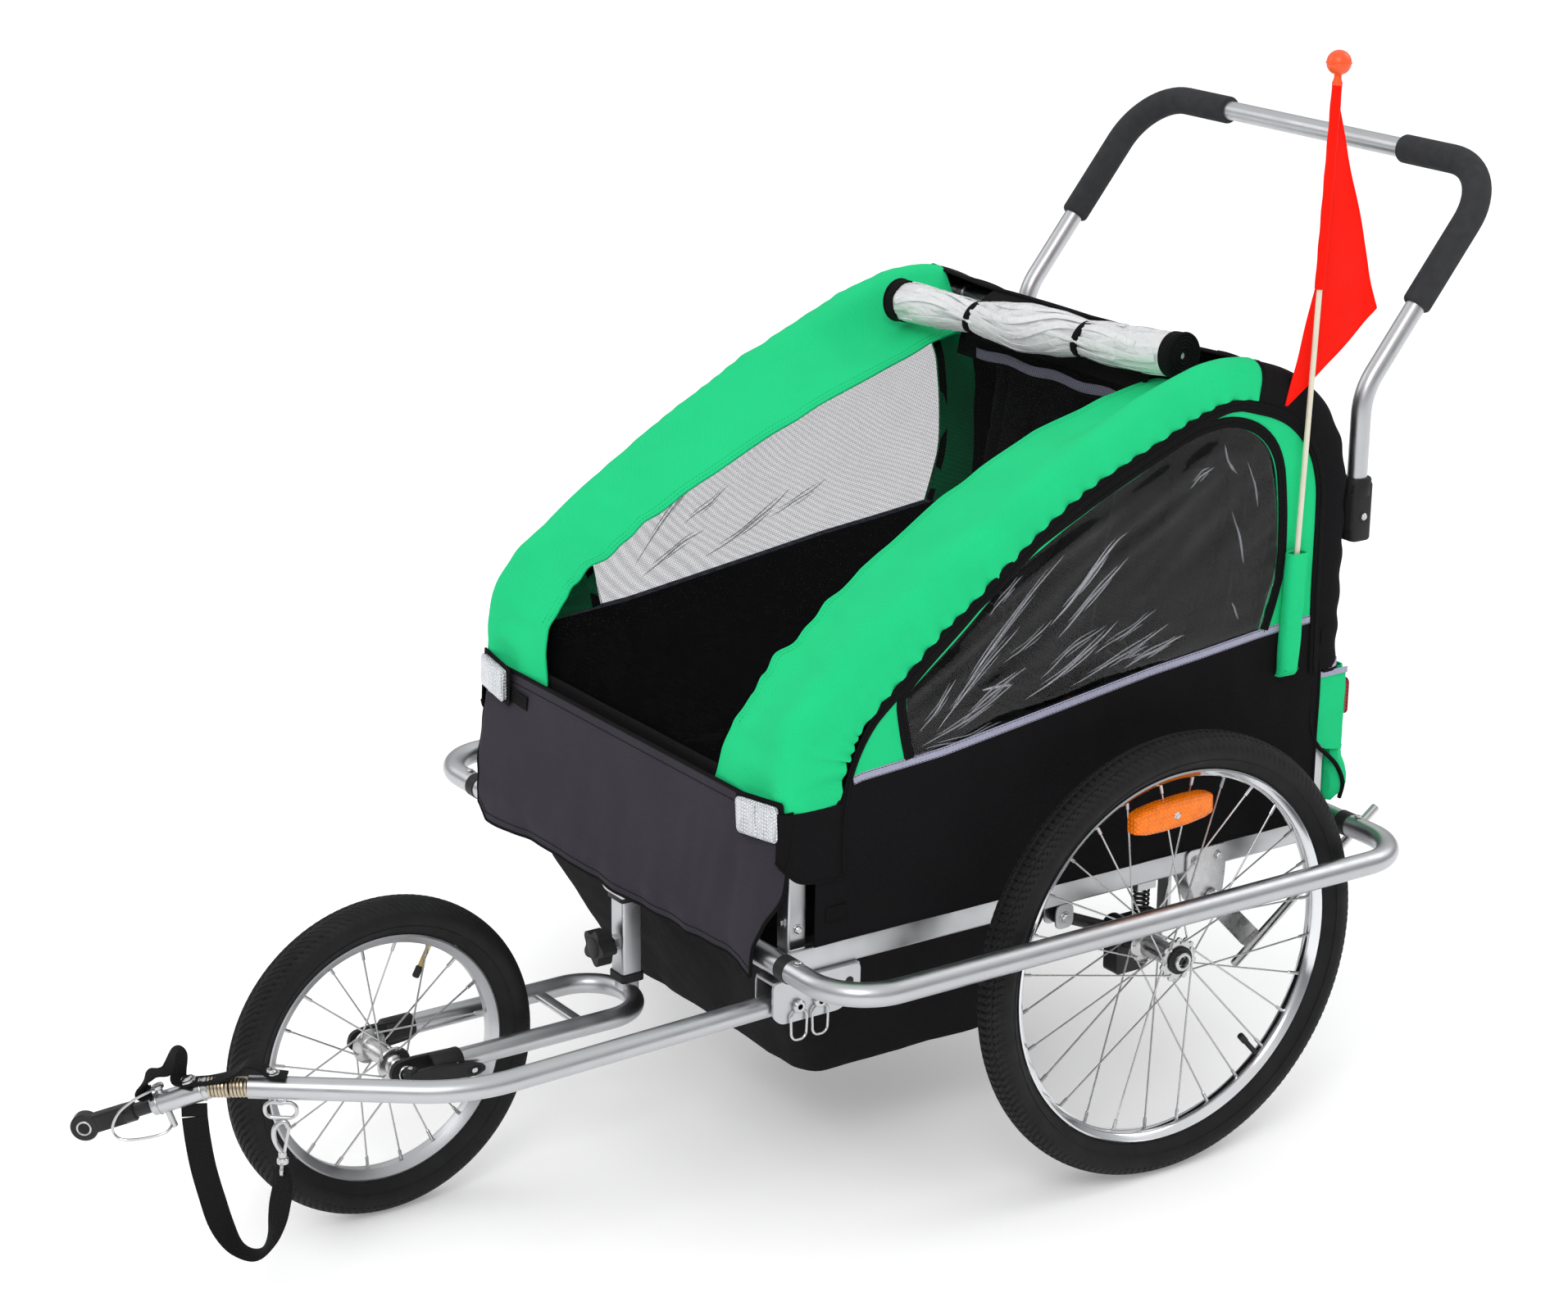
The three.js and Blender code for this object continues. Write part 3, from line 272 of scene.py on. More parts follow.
RUBBER = Look("rubber", (0.009, 0.009, 0.0095), 0.66, **DULL).vary(35, 0.18).grain(1.1, 0.06).grain(9,
        0.1).done(18, 0.16)
GREEN = fabric("green_fabric", (0.016, 0.60, 0.225), 0.8, 1.0, 0.05, 0.0, (0.6, 1, 0.8, 1), 0.04, 0.03)
# A darker copy of the green cloth, used for the stitch lines: painted shade along the seams.
GREEN_SHADED = fabric("green_painted_shade", (0.010, 0.36, 0.14), 0.85, 1.0, 0.05, 0.0, (0.6, 1, 0.8, 1), 0.1,
        0.04)
BLACK_CLOTH = fabric("black_fabric", (0.0060, 0.0054, 0.0062), 0.86, 1.1, 0.07, 0.01, (0.85, 0.8, 1, 1))
SKIRT_CLOTH = fabric("skirt_fabric", (0.036, 0.033, 0.042), 0.8, 1.1, 0.07, 0.04, (0.85, 0.8, 1, 1))
BINDING = fabric("binding", (0.0055, 0.0055, 0.006), 0.9, 1.6, 0.16, 0.01)
WEBBING = fabric("webbing", (0.009, 0.009, 0.0095), 0.82, 1.8, 0.22, 0.02)
SEAT_MESH = fabric("seat_fabric", (0.011, 0.011, 0.012), 0.92, 2.4, 0.3, 0.03)
REFLECTIVE = Look("reflective_tape", (0.36, 0.36, 0.48), 0.45, 0.1, **DULL).vary(4, 0.12).weave(0.8, 0.03,
        0.1).done(6, 0.1)
ORANGE = Look("orange_reflector", (0.96, 0.20, 0.003), 0.22, Coat_Weight=0.15,
        Specular_IOR_Level=0.3).vary(9, 0.14).weave(2.6, 0.25, 0.12).done(5, 0.1)
CLEAR_PRISM = Look("clear_reflector", (0.66, 0.68, 0.72), 0.14, 0.35, Coat_Weight=0.5).vary(3,
        0.2).weave(1.9, 0.35, 0.22).done(3, 0.1)
RED_PRISM = Look("red_reflector", (0.34, 0.008, 0.008), 0.18, Coat_Weight=0.4).vary(5, 0.2).weave(2.2, 0.3,
        0.25).done(4, 0.1)
FLAG_CLOTH = fabric("flag_fabric", (0.93, 0.008, 0.001), 0.6, 0.9, 0.03, 0.0, (1, 0.6, 0.4, 1), 0.05, 0.03)
POLE = Look("pole", (0.72, 0.69, 0.55), 0.5).vary(40, 0.06).grain(2, 0.04).done(12, 0.1)
BRASS = Look("brass", (0.62, 0.45, 0.18), 0.3, 1.0).vary(6, 0.1).grain(0.7, 0.02).done(5, 0.12)


def film_look(name, colour, roughness, crease, height, transmission, index):
    """Clear film: see-through, with bright streaks where it creases."""
    look = Look(name, colour, roughness, IOR=index, Transmission_Weight=transmission)
    folds = look.noise(crease, 2.0, 1.6)
    return look.vary(40, 0.03).relief(folds, height).relief(look.noise(crease / 3, 2.0, 0.8),
            height / 5).done(40, 0.04)


WINDOW_FILM = film_look("window_film", (0.93, 0.93, 0.95), 0.04, 60, 0.3, 1.0, 1.22)
ROLL_FILM = film_look("roll_film", (0.97, 0.975, 0.99), 0.06, 13, 1.8, 0.35, 1.5)
# Crease ridges in a whiter, less clear film than the window: painted highlight streaks on real ridges.
CREASE_HIGHLIGHT_FILM = film_look("film_crease_highlight", (0.82, 0.82, 0.86), 0.10, 12, 0.4, 0.8, 1.38)


def screen_look():
    """Insect mesh: black threads round see-through holes."""
    look = Look("insect_screen", (0.004, 0.004, 0.0045), 0.9, Specular_IOR_Level=0.05)
    dots = look.lattice(1.7)
    look.relief(dots, 0.1)
    look.link(look.maths("MULTIPLY_ADD", dots, -0.12, 0.30), look.shader.inputs["Alpha"])
    return look.vary(30, 0.2).done()


SCREEN = screen_look()


def make_floor():
    data = bpy.data.meshes.new("floor")
    reach = 40
    data.from_pydata([(-reach, -reach, 0), (reach, -reach, 0), (reach, reach, 0), (-reach, reach, 0)], [],
            [(0, 1, 2, 3)])
    floor = bpy.data.objects.new("floor", data)
    floor.location.z = -0.0005
    data.materials.append(Look("studio_floor", (0.95, 0.95, 0.952), 0.8, Emission_Color=(1, 1, 1, 1),
            Emission_Strength=0.22).vary(900, 0.01).done(300, 0.05))
    bpy.context.scene.collection.objects.link(floor)


make_floor()


# ---------------------------------------------------------------- shapes
class Shape:
    """Points in millimetres and the faces between them. Shapes add up and can be mirrored or moved."""

    def __init__(self, points=(), faces=()):
        self.points = [Vector(p) for p in points]
        self.faces = [tuple(f) for f in faces]

    def __add__(self, other):
        start = len(self.points)
        return Shape(self.points + other.points, self.faces
                + [tuple(i + start for i in f) for f in other.faces])

    def moved(self, offset):
        return Shape([p + Vector(offset) for p in self.points], self.faces)

    def turned(self, matrix):
        return Shape([matrix @ p for p in self.points], self.faces)

    def mirrored(self):
        return Shape([Vector((-p.x, p.y, p.z)) for p in self.points], [f[::-1] for f in self.faces])

    def on(self, side):
        return self if side == "left" else self.mirrored()


def total(shapes):
    whole = Shape()
    for shape in shapes:
        start = len(whole.points)
        whole.points += shape.points
        whole.faces += [tuple(i + start for i in f) for f in shape.faces]
    return whole


def ring(radius, sides=24, flat=1.0):
    """A round section, or an oval one where flat isn't 1."""
    angles = [2 * math.pi * i / sides for i in range(sides)]
    return [(radius * math.cos(a), radius * flat * math.sin(a)) for a in angles]


def rounded(width, height, corner, steps=4):
    """A rectangular section with round corners."""
    section = []
    for turn, (sx, sy) in enumerate([(1, 1), (-1, 1), (-1, -1), (1, -1)]):
        for i in range(steps + 1):
            angle = math.pi / 2 * (turn + i / steps)
            x = sx * (width / 2 - corner) + corner * math.cos(angle)
            section.append((x, sy * (height / 2 - corner) + corner * math.sin(angle)))
    return section


def bent(corners, radius, step=8):
    """Straight runs joined by round bends, as a list of points."""
    corners = [Vector(c) for c in corners]
    path = [corners[0]]
    for before, corner, after in zip(corners, corners[1:], corners[2:]):
        into, out = (corner - before).normalized(), (after - corner).normalized()
        angle = into.angle(out)
        if angle < 1e-3:
            continue
        start = corner - into * radius * math.tan(angle / 2)
        side = (out - into * out.dot(into)).normalized()
        count = max(2, round(math.degrees(angle) / step))
        for i in range(count + 1):
            a = angle * i / count
            path.append(start + into * radius * math.sin(a) + side * radius * (1 - math.cos(a)))
    return path + [corners[-1]]


def smooth_path(points, per=8):
    """A Catmull-Rom curve through points."""
    points = [Vector(p) for p in points]
    ends = [points[0] * 2 - points[1], *points, points[-1] * 2 - points[-2]]
    path = []
    for a, b, c, d in zip(ends, ends[1:], ends[2:], ends[3:]):
        for i in range(per):
            t = i / per
            path.append(0.5 * (2 * b + (c - a) * t + (2 * a - 5 * b + 4 * c - d) * t**2
                    + (3 * b - a - 3 * c + d) * t**3))
    return path + [points[-1]]


def sweep(path, section, closed=False, facing=None, grow=None):
    """A section carried along a path. facing gives the direction of the section's first axis at each
    point, or one direction for all; without it the section doesn't twist. grow scales it along the way."""
    path = [Vector(p) for p in path]
    count = len(path)
    tangents = []
    for i in range(count):
        before = path[i - 1] if i or closed else path[0]
        after = path[(i + 1) % count] if i < count - 1 or closed else path[-1]
        tangents.append((after - before).normalized())
    first = tangents[0].orthogonal().normalized()
    points = []
    for i, (point, along) in enumerate(zip(path, tangents)):
        if facing is not None:
            first = Vector(facing[i]) if isinstance(facing, list) else Vector(facing)
        first = (first - along * first.dot(along)).normalized()
        second = along.cross(first)
        scale = grow[i] if grow else 1.0
        points += [point + (first * a + second * b) * scale for a, b in section]
    size = len(section)
    faces = []
    for i in range(count if closed else count - 1):
        low, high = i * size, (i + 1) % count * size
        for k in range(size):
            n = (k + 1) % size
            faces.append((low + k, low + n, high + n, high + k))
    if not closed:
        faces += [tuple(range(size))[::-1], tuple(range((count - 1) * size, count * size))]
    return Shape(points, faces)


def tube(path, radius, sides=24, closed=False):
    return sweep(path, ring(radius, sides), closed)


def bar(a, b, radius, sides=20, chamfer=0.0):
    a, b = Vector(a), Vector(b)
    if not chamfer:
        return tube([a, b], radius, sides)
    along = (b - a).normalized() * chamfer
    ends = [a, a + along, b - along, b]
    return sweep(ends, ring(radius, sides), grow=[1 - chamfer / radius, 1, 1, 1 - chamfer / radius])


def lathe(profile, sides=48, closed=True):
    """A profile of (radius, x) turned about the X axis. An open profile starts and ends on the axis."""
    size = len(profile)
    points = []
    for i in range(sides):
        angle = 2 * math.pi * i / sides
        points += [Vector((x, r * math.cos(angle), r * math.sin(angle))) for r, x in profile]
    faces = []
    for i in range(sides):
        here, there = i * size, (i + 1) % sides * size
        for k in range(size if closed else size - 1):
            n = (k + 1) % size
            faces.append((here + k, here + n, there + n, there + k))
    return Shape(points, faces)


def plate(outline, x0, x1):
    """An outline of (y, z) pushed from x0 to x1."""
    size = len(outline)
    points = [(x, y, z) for x in (x0, x1) for y, z in outline]
    faces = [tuple(range(size))[::-1], tuple(range(size, 2 * size))]
    faces += [(i, (i + 1) % size, (i + 1) % size + size, i + size) for i in range(size)]
    return Shape(points, faces)


def block(low, high):
    (x0, y0, z0), (x1, y1, z1) = low, high
    return plate([(y0, z0), (y1, z0), (y1, z1), (y0, z1)], x0, x1)


def rounded_outline(outline, radius, steps=4):
    """An outline of (y, z) with its corners rounded."""
    points = [Vector((y, z, 0)) for y, z in outline]
    result = []
    for before, corner, after in zip(points[-1:] + points[:-1], points, points[1:] + points[:1]):
        to_before, to_after = before - corner, after - corner
        reach = min(radius, to_before.length * 0.45, to_after.length * 0.45)
        start, end = corner + to_before.normalized() * reach, corner + to_after.normalized() * reach
        for i in range(steps + 1):
            t = i / steps
            p = start * (1 - t) ** 2 + corner * 2 * t * (1 - t) + end * t**2
            result.append((p.x, p.y))
    return result


def grid(rows, thickness):
    """A closed sheet with rows of points as its middle surface."""
    height, width = len(rows), len(rows[0])
    normals = []
    for i in range(height):
        for j in range(width):
            down = rows[min(i + 1, height - 1)][j] - rows[max(i - 1, 0)][j]
            across = rows[i][min(j + 1, width - 1)] - rows[i][max(j - 1, 0)]
            normals.append(across.cross(down).normalized() * thickness / 2)
    flat = [p for row in rows for p in row]
    points = [p + n for p, n in zip(flat, normals)] + [p - n for p, n in zip(flat, normals)]
    back = height * width
    faces = []
    for i in range(height - 1):
        for j in range(width - 1):
            a, b = i * width + j, (i + 1) * width + j
            faces += [(a, a + 1, b + 1, b), (a + back, b + back, b + 1 + back, a + 1 + back)]
    rim = [j for j in range(width)]
    rim += [i * width + width - 1 for i in range(1, height)]
    rim += [(height - 1) * width + j for j in range(width - 2, -1, -1)]
    rim += [i * width for i in range(height - 2, 0, -1)]
    faces += [(a, a + back, b + back, b) for a, b in zip(rim, rim[1:] + rim[:1])]
    return Shape(points, faces)


def coil(path, radius, wire, turns, sides=8, per_turn=16):
    """A spring wound round a path of two points."""
    start, end = Vector(path[0]), Vector(path[1])
    along = (end - start).normalized()
    first = along.orthogonal().normalized()
    second = along.cross(first)
    count = int(turns * per_turn)
    points = []
    for i in range(count + 1):
        angle = 2 * math.pi * i / per_turn
        points.append(start.lerp(end, i / count)
                + (first * math.cos(angle) + second * math.sin(angle)) * radius)
    return tube(points, wire, sides)


def stitches(path, pitch, length, radius):
    """Short threads laid end to end along a path."""
    path = [Vector(p) for p in path]
    reach, shapes = 0.0, []
    for a, b in zip(path, path[1:]):
        span = (b - a).length
        while reach < span:
            start = a.lerp(b, reach / span)
            shapes.append(sweep([start, start + (b - a).normalized() * length], ring(radius, 5)))
            reach += pitch
        reach -= span
    return total(shapes)


SHARP_ANGLE = math.radians(35)


def piece(name, shape, body, look, replaces=(), bevel=0.0):
    """Makes the object, in metres, riding on its body."""
    data = bpy.data.meshes.new(name)
    data.from_pydata([metres(p) for p in shape.points], [], shape.faces)
    work = bmesh.new()
    work.from_mesh(data)
    bmesh.ops.remove_doubles(work, verts=work.verts, dist=1e-6)
    bmesh.ops.recalc_face_normals(work, faces=work.faces)
    if bevel:
        edges = [e for e in work.edges if len(e.link_faces) == 2 and e.calc_face_angle(0) > SHARP_ANGLE]
        bmesh.ops.bevel(work, geom=edges, offset=bevel * METRES, segments=2, affect="EDGES",
                clamp_overlap=True)
    work.to_mesh(data)
    work.free()
    data.shade_smooth()
    data.set_sharp_from_angle(angle=SHARP_ANGLE)
    data.materials.append(look)
    made = bpy.data.objects.new(name, data)
    bpy.context.scene.collection.objects.link(made)
    if body:
        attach(made, body)
    if replaces:
        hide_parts(*replaces)
    return made


# ---------------------------------------------------------------- tow arm, coupling, hitch and strap
TOW_BEND = Vector((283, -800, 257))
TOW_TUBE_R = 11.3
TOW_RUN = 211
TOW_ANGLE = math.radians(-127.2)
TOW_HEADING = Vector((math.cos(TOW_ANGLE), math.sin(TOW_ANGLE), 0))
TOW_SIDE = Vector((-TOW_HEADING.y, TOW_HEADING.x, 0))
UP = Vector((0, 0, 1))
RING_RUN = 181
COUPLING_LENGTH = 38


def tow_plane(run, z, aside=0.0):
    """A point in the upright plane of the arm's angled run."""
    point = TOW_BEND + TOW_HEADING * run + TOW_SIDE * aside
    return Vector((point.x, point.y, z))


def nose_down(origin, degrees):
    """The frame of a piece that lies along the angled run and slopes down: local X is forward."""
    pitch = math.radians(degrees)
    forward = TOW_HEADING * math.cos(pitch) - UP * math.sin(pitch)
    lifted = TOW_HEADING * math.sin(pitch) + UP * math.cos(pitch)
    axes = Matrix((forward, TOW_SIDE, lifted)).transposed()
    return Matrix.Translation(origin) @ axes.to_4x4()


TOW_END = tow_plane(TOW_RUN, TOW_BEND.z)
COUPLING = nose_down(TOW_END, 3)
HITCH = nose_down(COUPLING @ Vector((COUPLING_LENGTH, 0, 0)), 20)

# Route of the strap: distance along the angled run of the arm, then height. A program worked it out from
# given points, and it was then adjusted by up to 6 mm.
STRAP_ROUTE = [
    (265, 223), (263, 199), (259, 170), (252, 139), (244, 110), (232, 87), (218, 77),
    (205, 79), (195, 95), (189, 115), (185, 135), (182, 150), (181, 166.5),
]
STRAP_WIDTH, STRAP_THICK = 25.0, 2.0


def make_strap():
    path = smooth_path([tow_plane(run, z) for run, z in STRAP_ROUTE], 6)
    count = len(path)
    facing = []
    for i in range(count):
        t = i / (count - 1)
        twist = math.radians(80 - 80 * smooth(t, 0.22, 0.52) - 62 * smooth(t, 0.54, 0.82))
        facing.append(TOW_SIDE * math.cos(twist) + TOW_HEADING * math.sin(twist))
    section = rounded(STRAP_WIDTH, STRAP_THICK, 0.9, 3)
    shape = sweep(path, section, facing=facing)
    strap = piece("safety_webbing", shape, "frame", WEBBING, ["safety_strap"])
    ends = [piece("strap_loop_at_hook", strap_loop(path[-1], facing[-1]), "frame", WEBBING)]
    tab = sweep([tow_plane(265, 237), tow_plane(265, 230), tow_plane(265, 224)], section, facing=facing[0])
    piece("strap_tab_at_sleeve", tab, "hitch", WEBBING)
    make_snap_hook()


def smooth(t, low, high):
    t = min(max((t - low) / (high - low), 0), 1)
    return t * t * (3 - 2 * t)


def strap_loop(end, across):
    """The strap's folded end, sewn round the swivel of the hook."""
    folds = [end + UP * z for z in (-16, -4, 6, 10)]
    return sweep(folds, rounded(17, 4.2, 1.6), facing=across, grow=[1.25, 1.05, 0.9, 0.55])


def make_snap_hook():
    top = TOW_BEND.z - TOW_TUBE_R - 2.3
    oval = bent([tow_plane(RING_RUN + a, z) for a, z in
                 [(0, top - 2), (15.5, top - 2), (15.5, top - 18), (-15.5, top - 18), (-15.5, top - 2),
                         (0, top - 2)]], 7.5)
    shapes = [tube(oval[:-1], 2.0, 12, closed=True)]
    at = lambda z, a=0.0: tow_plane(RING_RUN + a, z)
    shapes.append(bar(at(176), at(183), 5.6, 20, 1.2))
    shapes.append(bar(at(183), at(189), 4.0, 20, 0.8))
    hook = smooth_path([at(188), at(194, 4), at(203, 7.5), at(213, 7), at(220, 1.5), at(221, -4),
            at(216, -7)], 6)
    shapes.append(tube(hook, 2.5, 12))
    shapes.append(bar(at(189, -2), at(216, -7.6), 1.7, 12))
    eye = [at(172) + TOW_SIDE * 9 * math.cos(a) + UP * 6.5 * math.sin(a) for a in circle_angles(24)]
    shapes.append(tube(eye, 1.9, 10, closed=True))
    return piece("snap_hook_detail", total(shapes), "frame", STEEL, ["snap_hook"])


def circle_angles(count):
    return [2 * math.pi * i / count for i in range(count)]


make_strap()


def make_tow_arm():
    rear = Vector((283, -388, 266))
    path = bent([rear, TOW_BEND, TOW_END], 150, 5)
    outer = tube(path, TOW_TUBE_R, 32)
    lug = tow_plane(RING_RUN, TOW_BEND.z - TOW_TUBE_R - 1)
    saddle = tube([lug + TOW_HEADING * 5 * math.cos(a) + UP * 5 * math.sin(a) for a in circle_angles(20)],
            1.6, 10, True)
    piece("tow_arm_tube", outer + saddle, "frame", ALUMINIUM, ["tow_arm"])
    cap = sweep([rear + Vector((0, 1, 0)) * d for d in (-6, 1, 3)], ring(TOW_TUBE_R + 0.5, 32),
            grow=[1, 1, 0.8])
    piece("tow_arm_end_cap", cap, "frame", BLACK_PLASTIC)


def wire_pin(centre, length, radius, head, hoop):
    """A quick pin along +X and the wire hoop through its head."""
    tail = centre + Vector((-25, 0, 0))
    tip = tail + Vector((length, 0, 0))
    pin = bar(tail, tip, radius, 20, 1.0) + bar(tip - Vector((6, 0, 0)), tip, head, 24, 1.2)
    return pin + tube(hoop, 1.3, 10)


def make_tow_pins():
    for name, y in (("tow_pin_front", -428), ("tow_pin_rear", -402)):
        centre = Vector((283, y, 265.4))
        x = centre.x + 19.5
        hoop = bent([(x, y, 264), (x, y - 10, 257), (x, y - 9, 229), (x, y + 9, 229), (x, y + 10, 257),
                (x, y, 264)], 8)
        piece(name + "_detail", wire_pin(centre, 47, 4, 7, hoop), name, STEEL, [name])


def make_coupling():
    """The coil round the coupling, made in two halves, each with a plastic core."""
    middle = COUPLING_LENGTH / 2
    wire = 1.7
    halves = (
        ("coupling_coil_rear", 0.5, middle, "frame", "coupling", ["coupling_spring"]),
        ("coupling_coil_front", middle, COUPLING_LENGTH + 1.5, "coupling", "hitch", []),
    )
    for name, start, end, a, b, hidden in halves:
        ends = [COUPLING @ Vector((x, 0, 0)) for x in (start, end)]
        shape = coil(ends, 8.6, wire, (end - start) / 3.5, 8, 20)
        made = piece(name, shape, None, SPRING_STEEL, hidden)
        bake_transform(made)
        core = piece(name + "_core", tube([ends[0].lerp(ends[1], i / 6) for i in range(7)], 5.4, 16), None,
                     BLACK_PLASTIC)
        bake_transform(core)


def make_cover_strap():
    """The strap screwed on top of the arm and the sleeve, arched over the coil, with a loose loop in front."""
    heights = [(174, 269.6), (189, 271.5), (199, 278), (211, 281), (221, 273), (233, 267), (250, 262.5),
            (262, 261), (272, 259)]
    path = smooth_path([tow_plane(run, z) for run, z in heights], 6)
    knot = len(path) // 2
    for name, span, a, b in (("rear", path[:knot + 1], "frame", "coupling"),
            ("front", path[knot:], "coupling", "hitch")):
        made = piece("coupling_strap_" + name, sweep(span, rounded(20, 2.8, 1.2, 3), facing=TOW_SIDE), None,
                WEBBING)
        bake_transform(made)
    for name, run, z, body in (("rear", 189, 272, "frame"), ("front", 270, 261.5, "hitch")):
        tilt = UP if name == "rear" else HITCH.to_3x3() @ UP
        foot = tow_plane(run, z)
        shape = bar(foot - tilt, foot + tilt * 1.4, 8.4, 28, 0.4) + bar(foot + tilt, foot + tilt * 4.2, 6.4,
                24, 2.2)
        piece("strap_screw_" + name, shape, body, STEEL)
        slots = sweep([foot - TOW_HEADING * 3.4 + tilt * 4.1, foot + TOW_HEADING * 3.4 + tilt * 4.1],
                rounded(1.1, 0.6, 0.2), facing=TOW_SIDE)
        slots += sweep([foot - TOW_SIDE * 3.4 + tilt * 4.1, foot + TOW_SIDE * 3.4 + tilt * 4.1],
                rounded(1.1, 0.6, 0.2), facing=TOW_HEADING)
        piece("strap_screw_slots_" + name, slots, body, BORE)
    route = [(262, 256, 3), (270, 258.5, 0), (280, 262, -4), (277, 284, -6), (282, 290, -5), (290, 272, 0),
            (303, 270, 5), (311, 262, 6),
             (314, 250, 4), (306, 247, 0)]
    loop = smooth_path([tow_plane(run, z, aside) for run, z, aside in route], 8)
    facing = [TOW_SIDE + TOW_HEADING * 0.9 * math.sin(i / 9) for i in range(len(loop))]
    piece("coupling_strap_loop", sweep(loop, rounded(19, 2.4, 1.0, 3), facing=facing), "hitch",
            WEBBING)


def make_hitch():
    at = lambda x, y=0.0, z=0.0: HITCH @ Vector((x, y, z))
    sleeve = sweep([at(x) for x in (0.5, 2, 58.5, 60)], ring(10.8, 32), grow=[0.9, 1, 1, 0.9])
    crimps = [tube([at(x, 10.8 * math.cos(a), 10.8 * math.sin(a)) for a in circle_angles(32)], 0.9, 8, True)
            for x in (7, 53)]
    piece("hitch_sleeve_tube", sleeve + total(crimps), "hitch", ALUMINIUM, ["hitch_sleeve"])
    eye, radius = 131, 14
    tongue = bar(at(56), at(84), 7, 24) + bar(at(78), at(90), 10, 28, 1.2)
    neck = sweep([at(x) for x in (88, 100, 112, 126)], rounded(12, 19, 3), facing=TOW_SIDE,
            grow=[1.0, 1.0, 1.0, 1.0])
    boss = bar(at(eye, -6.4), at(eye, 6.4), radius, 40, 1.4)
    piece("hitch_tongue_body", tongue + neck + boss, "hitch", BLACK_PAINT, ["hitch_tongue"])
    bush = [(eye, side) for side in (-1, 1)]
    rings = [tube([at(eye + 6.6 * math.cos(a), side * 6.6, 6.6 * math.sin(a)) for a in circle_angles(32)],
            1.1, 10, True)
             for _, side in bush]
    holes = [bar(at(eye, 6.2 * side), at(eye, 6.9 * side), 5.8, 28) for _, side in bush]
    piece("hitch_eye_bush", total(rings), "hitch", STEEL)
    piece("hitch_eye_bore", total(holes), "hitch", BORE)
    reach, side = 48, 13.5
    pin = bar(at(reach, 0, -28), at(reach, 0, 19), 3.4, 18, 1) + bar(at(reach, 0, 14), at(reach, 0, 19), 6,
            24, 1)
    bail = smooth_path([at(reach, 0, 16.5), at(reach + 6, side * 0.8, 18), at(reach + 22, side, 15.5),
            at(reach + 42, side, 7),
                        at(reach + 54, side, -7), at(reach + 50, side, -19), at(reach + 30, side, -25),
                        at(reach + 8, side * 0.8, -27),
                        at(reach, 0, -24)], 6)
    piece("hitch_pin_bail", pin + tube(bail, 1.4, 10), "hitch_pin", STEEL, ["hitch_pin"])


SPRING_STEEL = Look("spring_steel", (0.50, 0.43, 0.33), 0.34, 1.0).vary(8, 0.12).grain(0.8, 0.02).done(8,
        0.14)
BORE = Look("bore_shadow", (0.004, 0.004, 0.004), 0.8).vary(5, 0.2).grain(2, 0.05).done()
make_tow_arm()
make_tow_pins()
make_coupling()
make_cover_strap()
make_hitch()


# ---------------------------------------------------------------- frame
FRAME_Z, FRONT_TUBE_Y, REAR_TUBE_Y = 314.0, -449.0, 304.0
FRAME_HALF = 293.5
TUBE_R = 12.7
RAIL_X = FRAME_HALF - 10
SWING_PIVOT = Vector((283.5, -80, 280))


def bolt(point, direction, radius=5.5, height=3.2, nut=True):
    """A hexagon or dome head standing on a face."""
    point, direction = Vector(point), Vector(direction).normalized()
    washer = bar(point, point + direction * 1.0, radius * 1.35, 28, 0.3)
    head = bar(point + direction, point + direction * (1 + height), radius, 6 if nut else 24, 0.5 if nut
            else 1.4)
    return washer + head


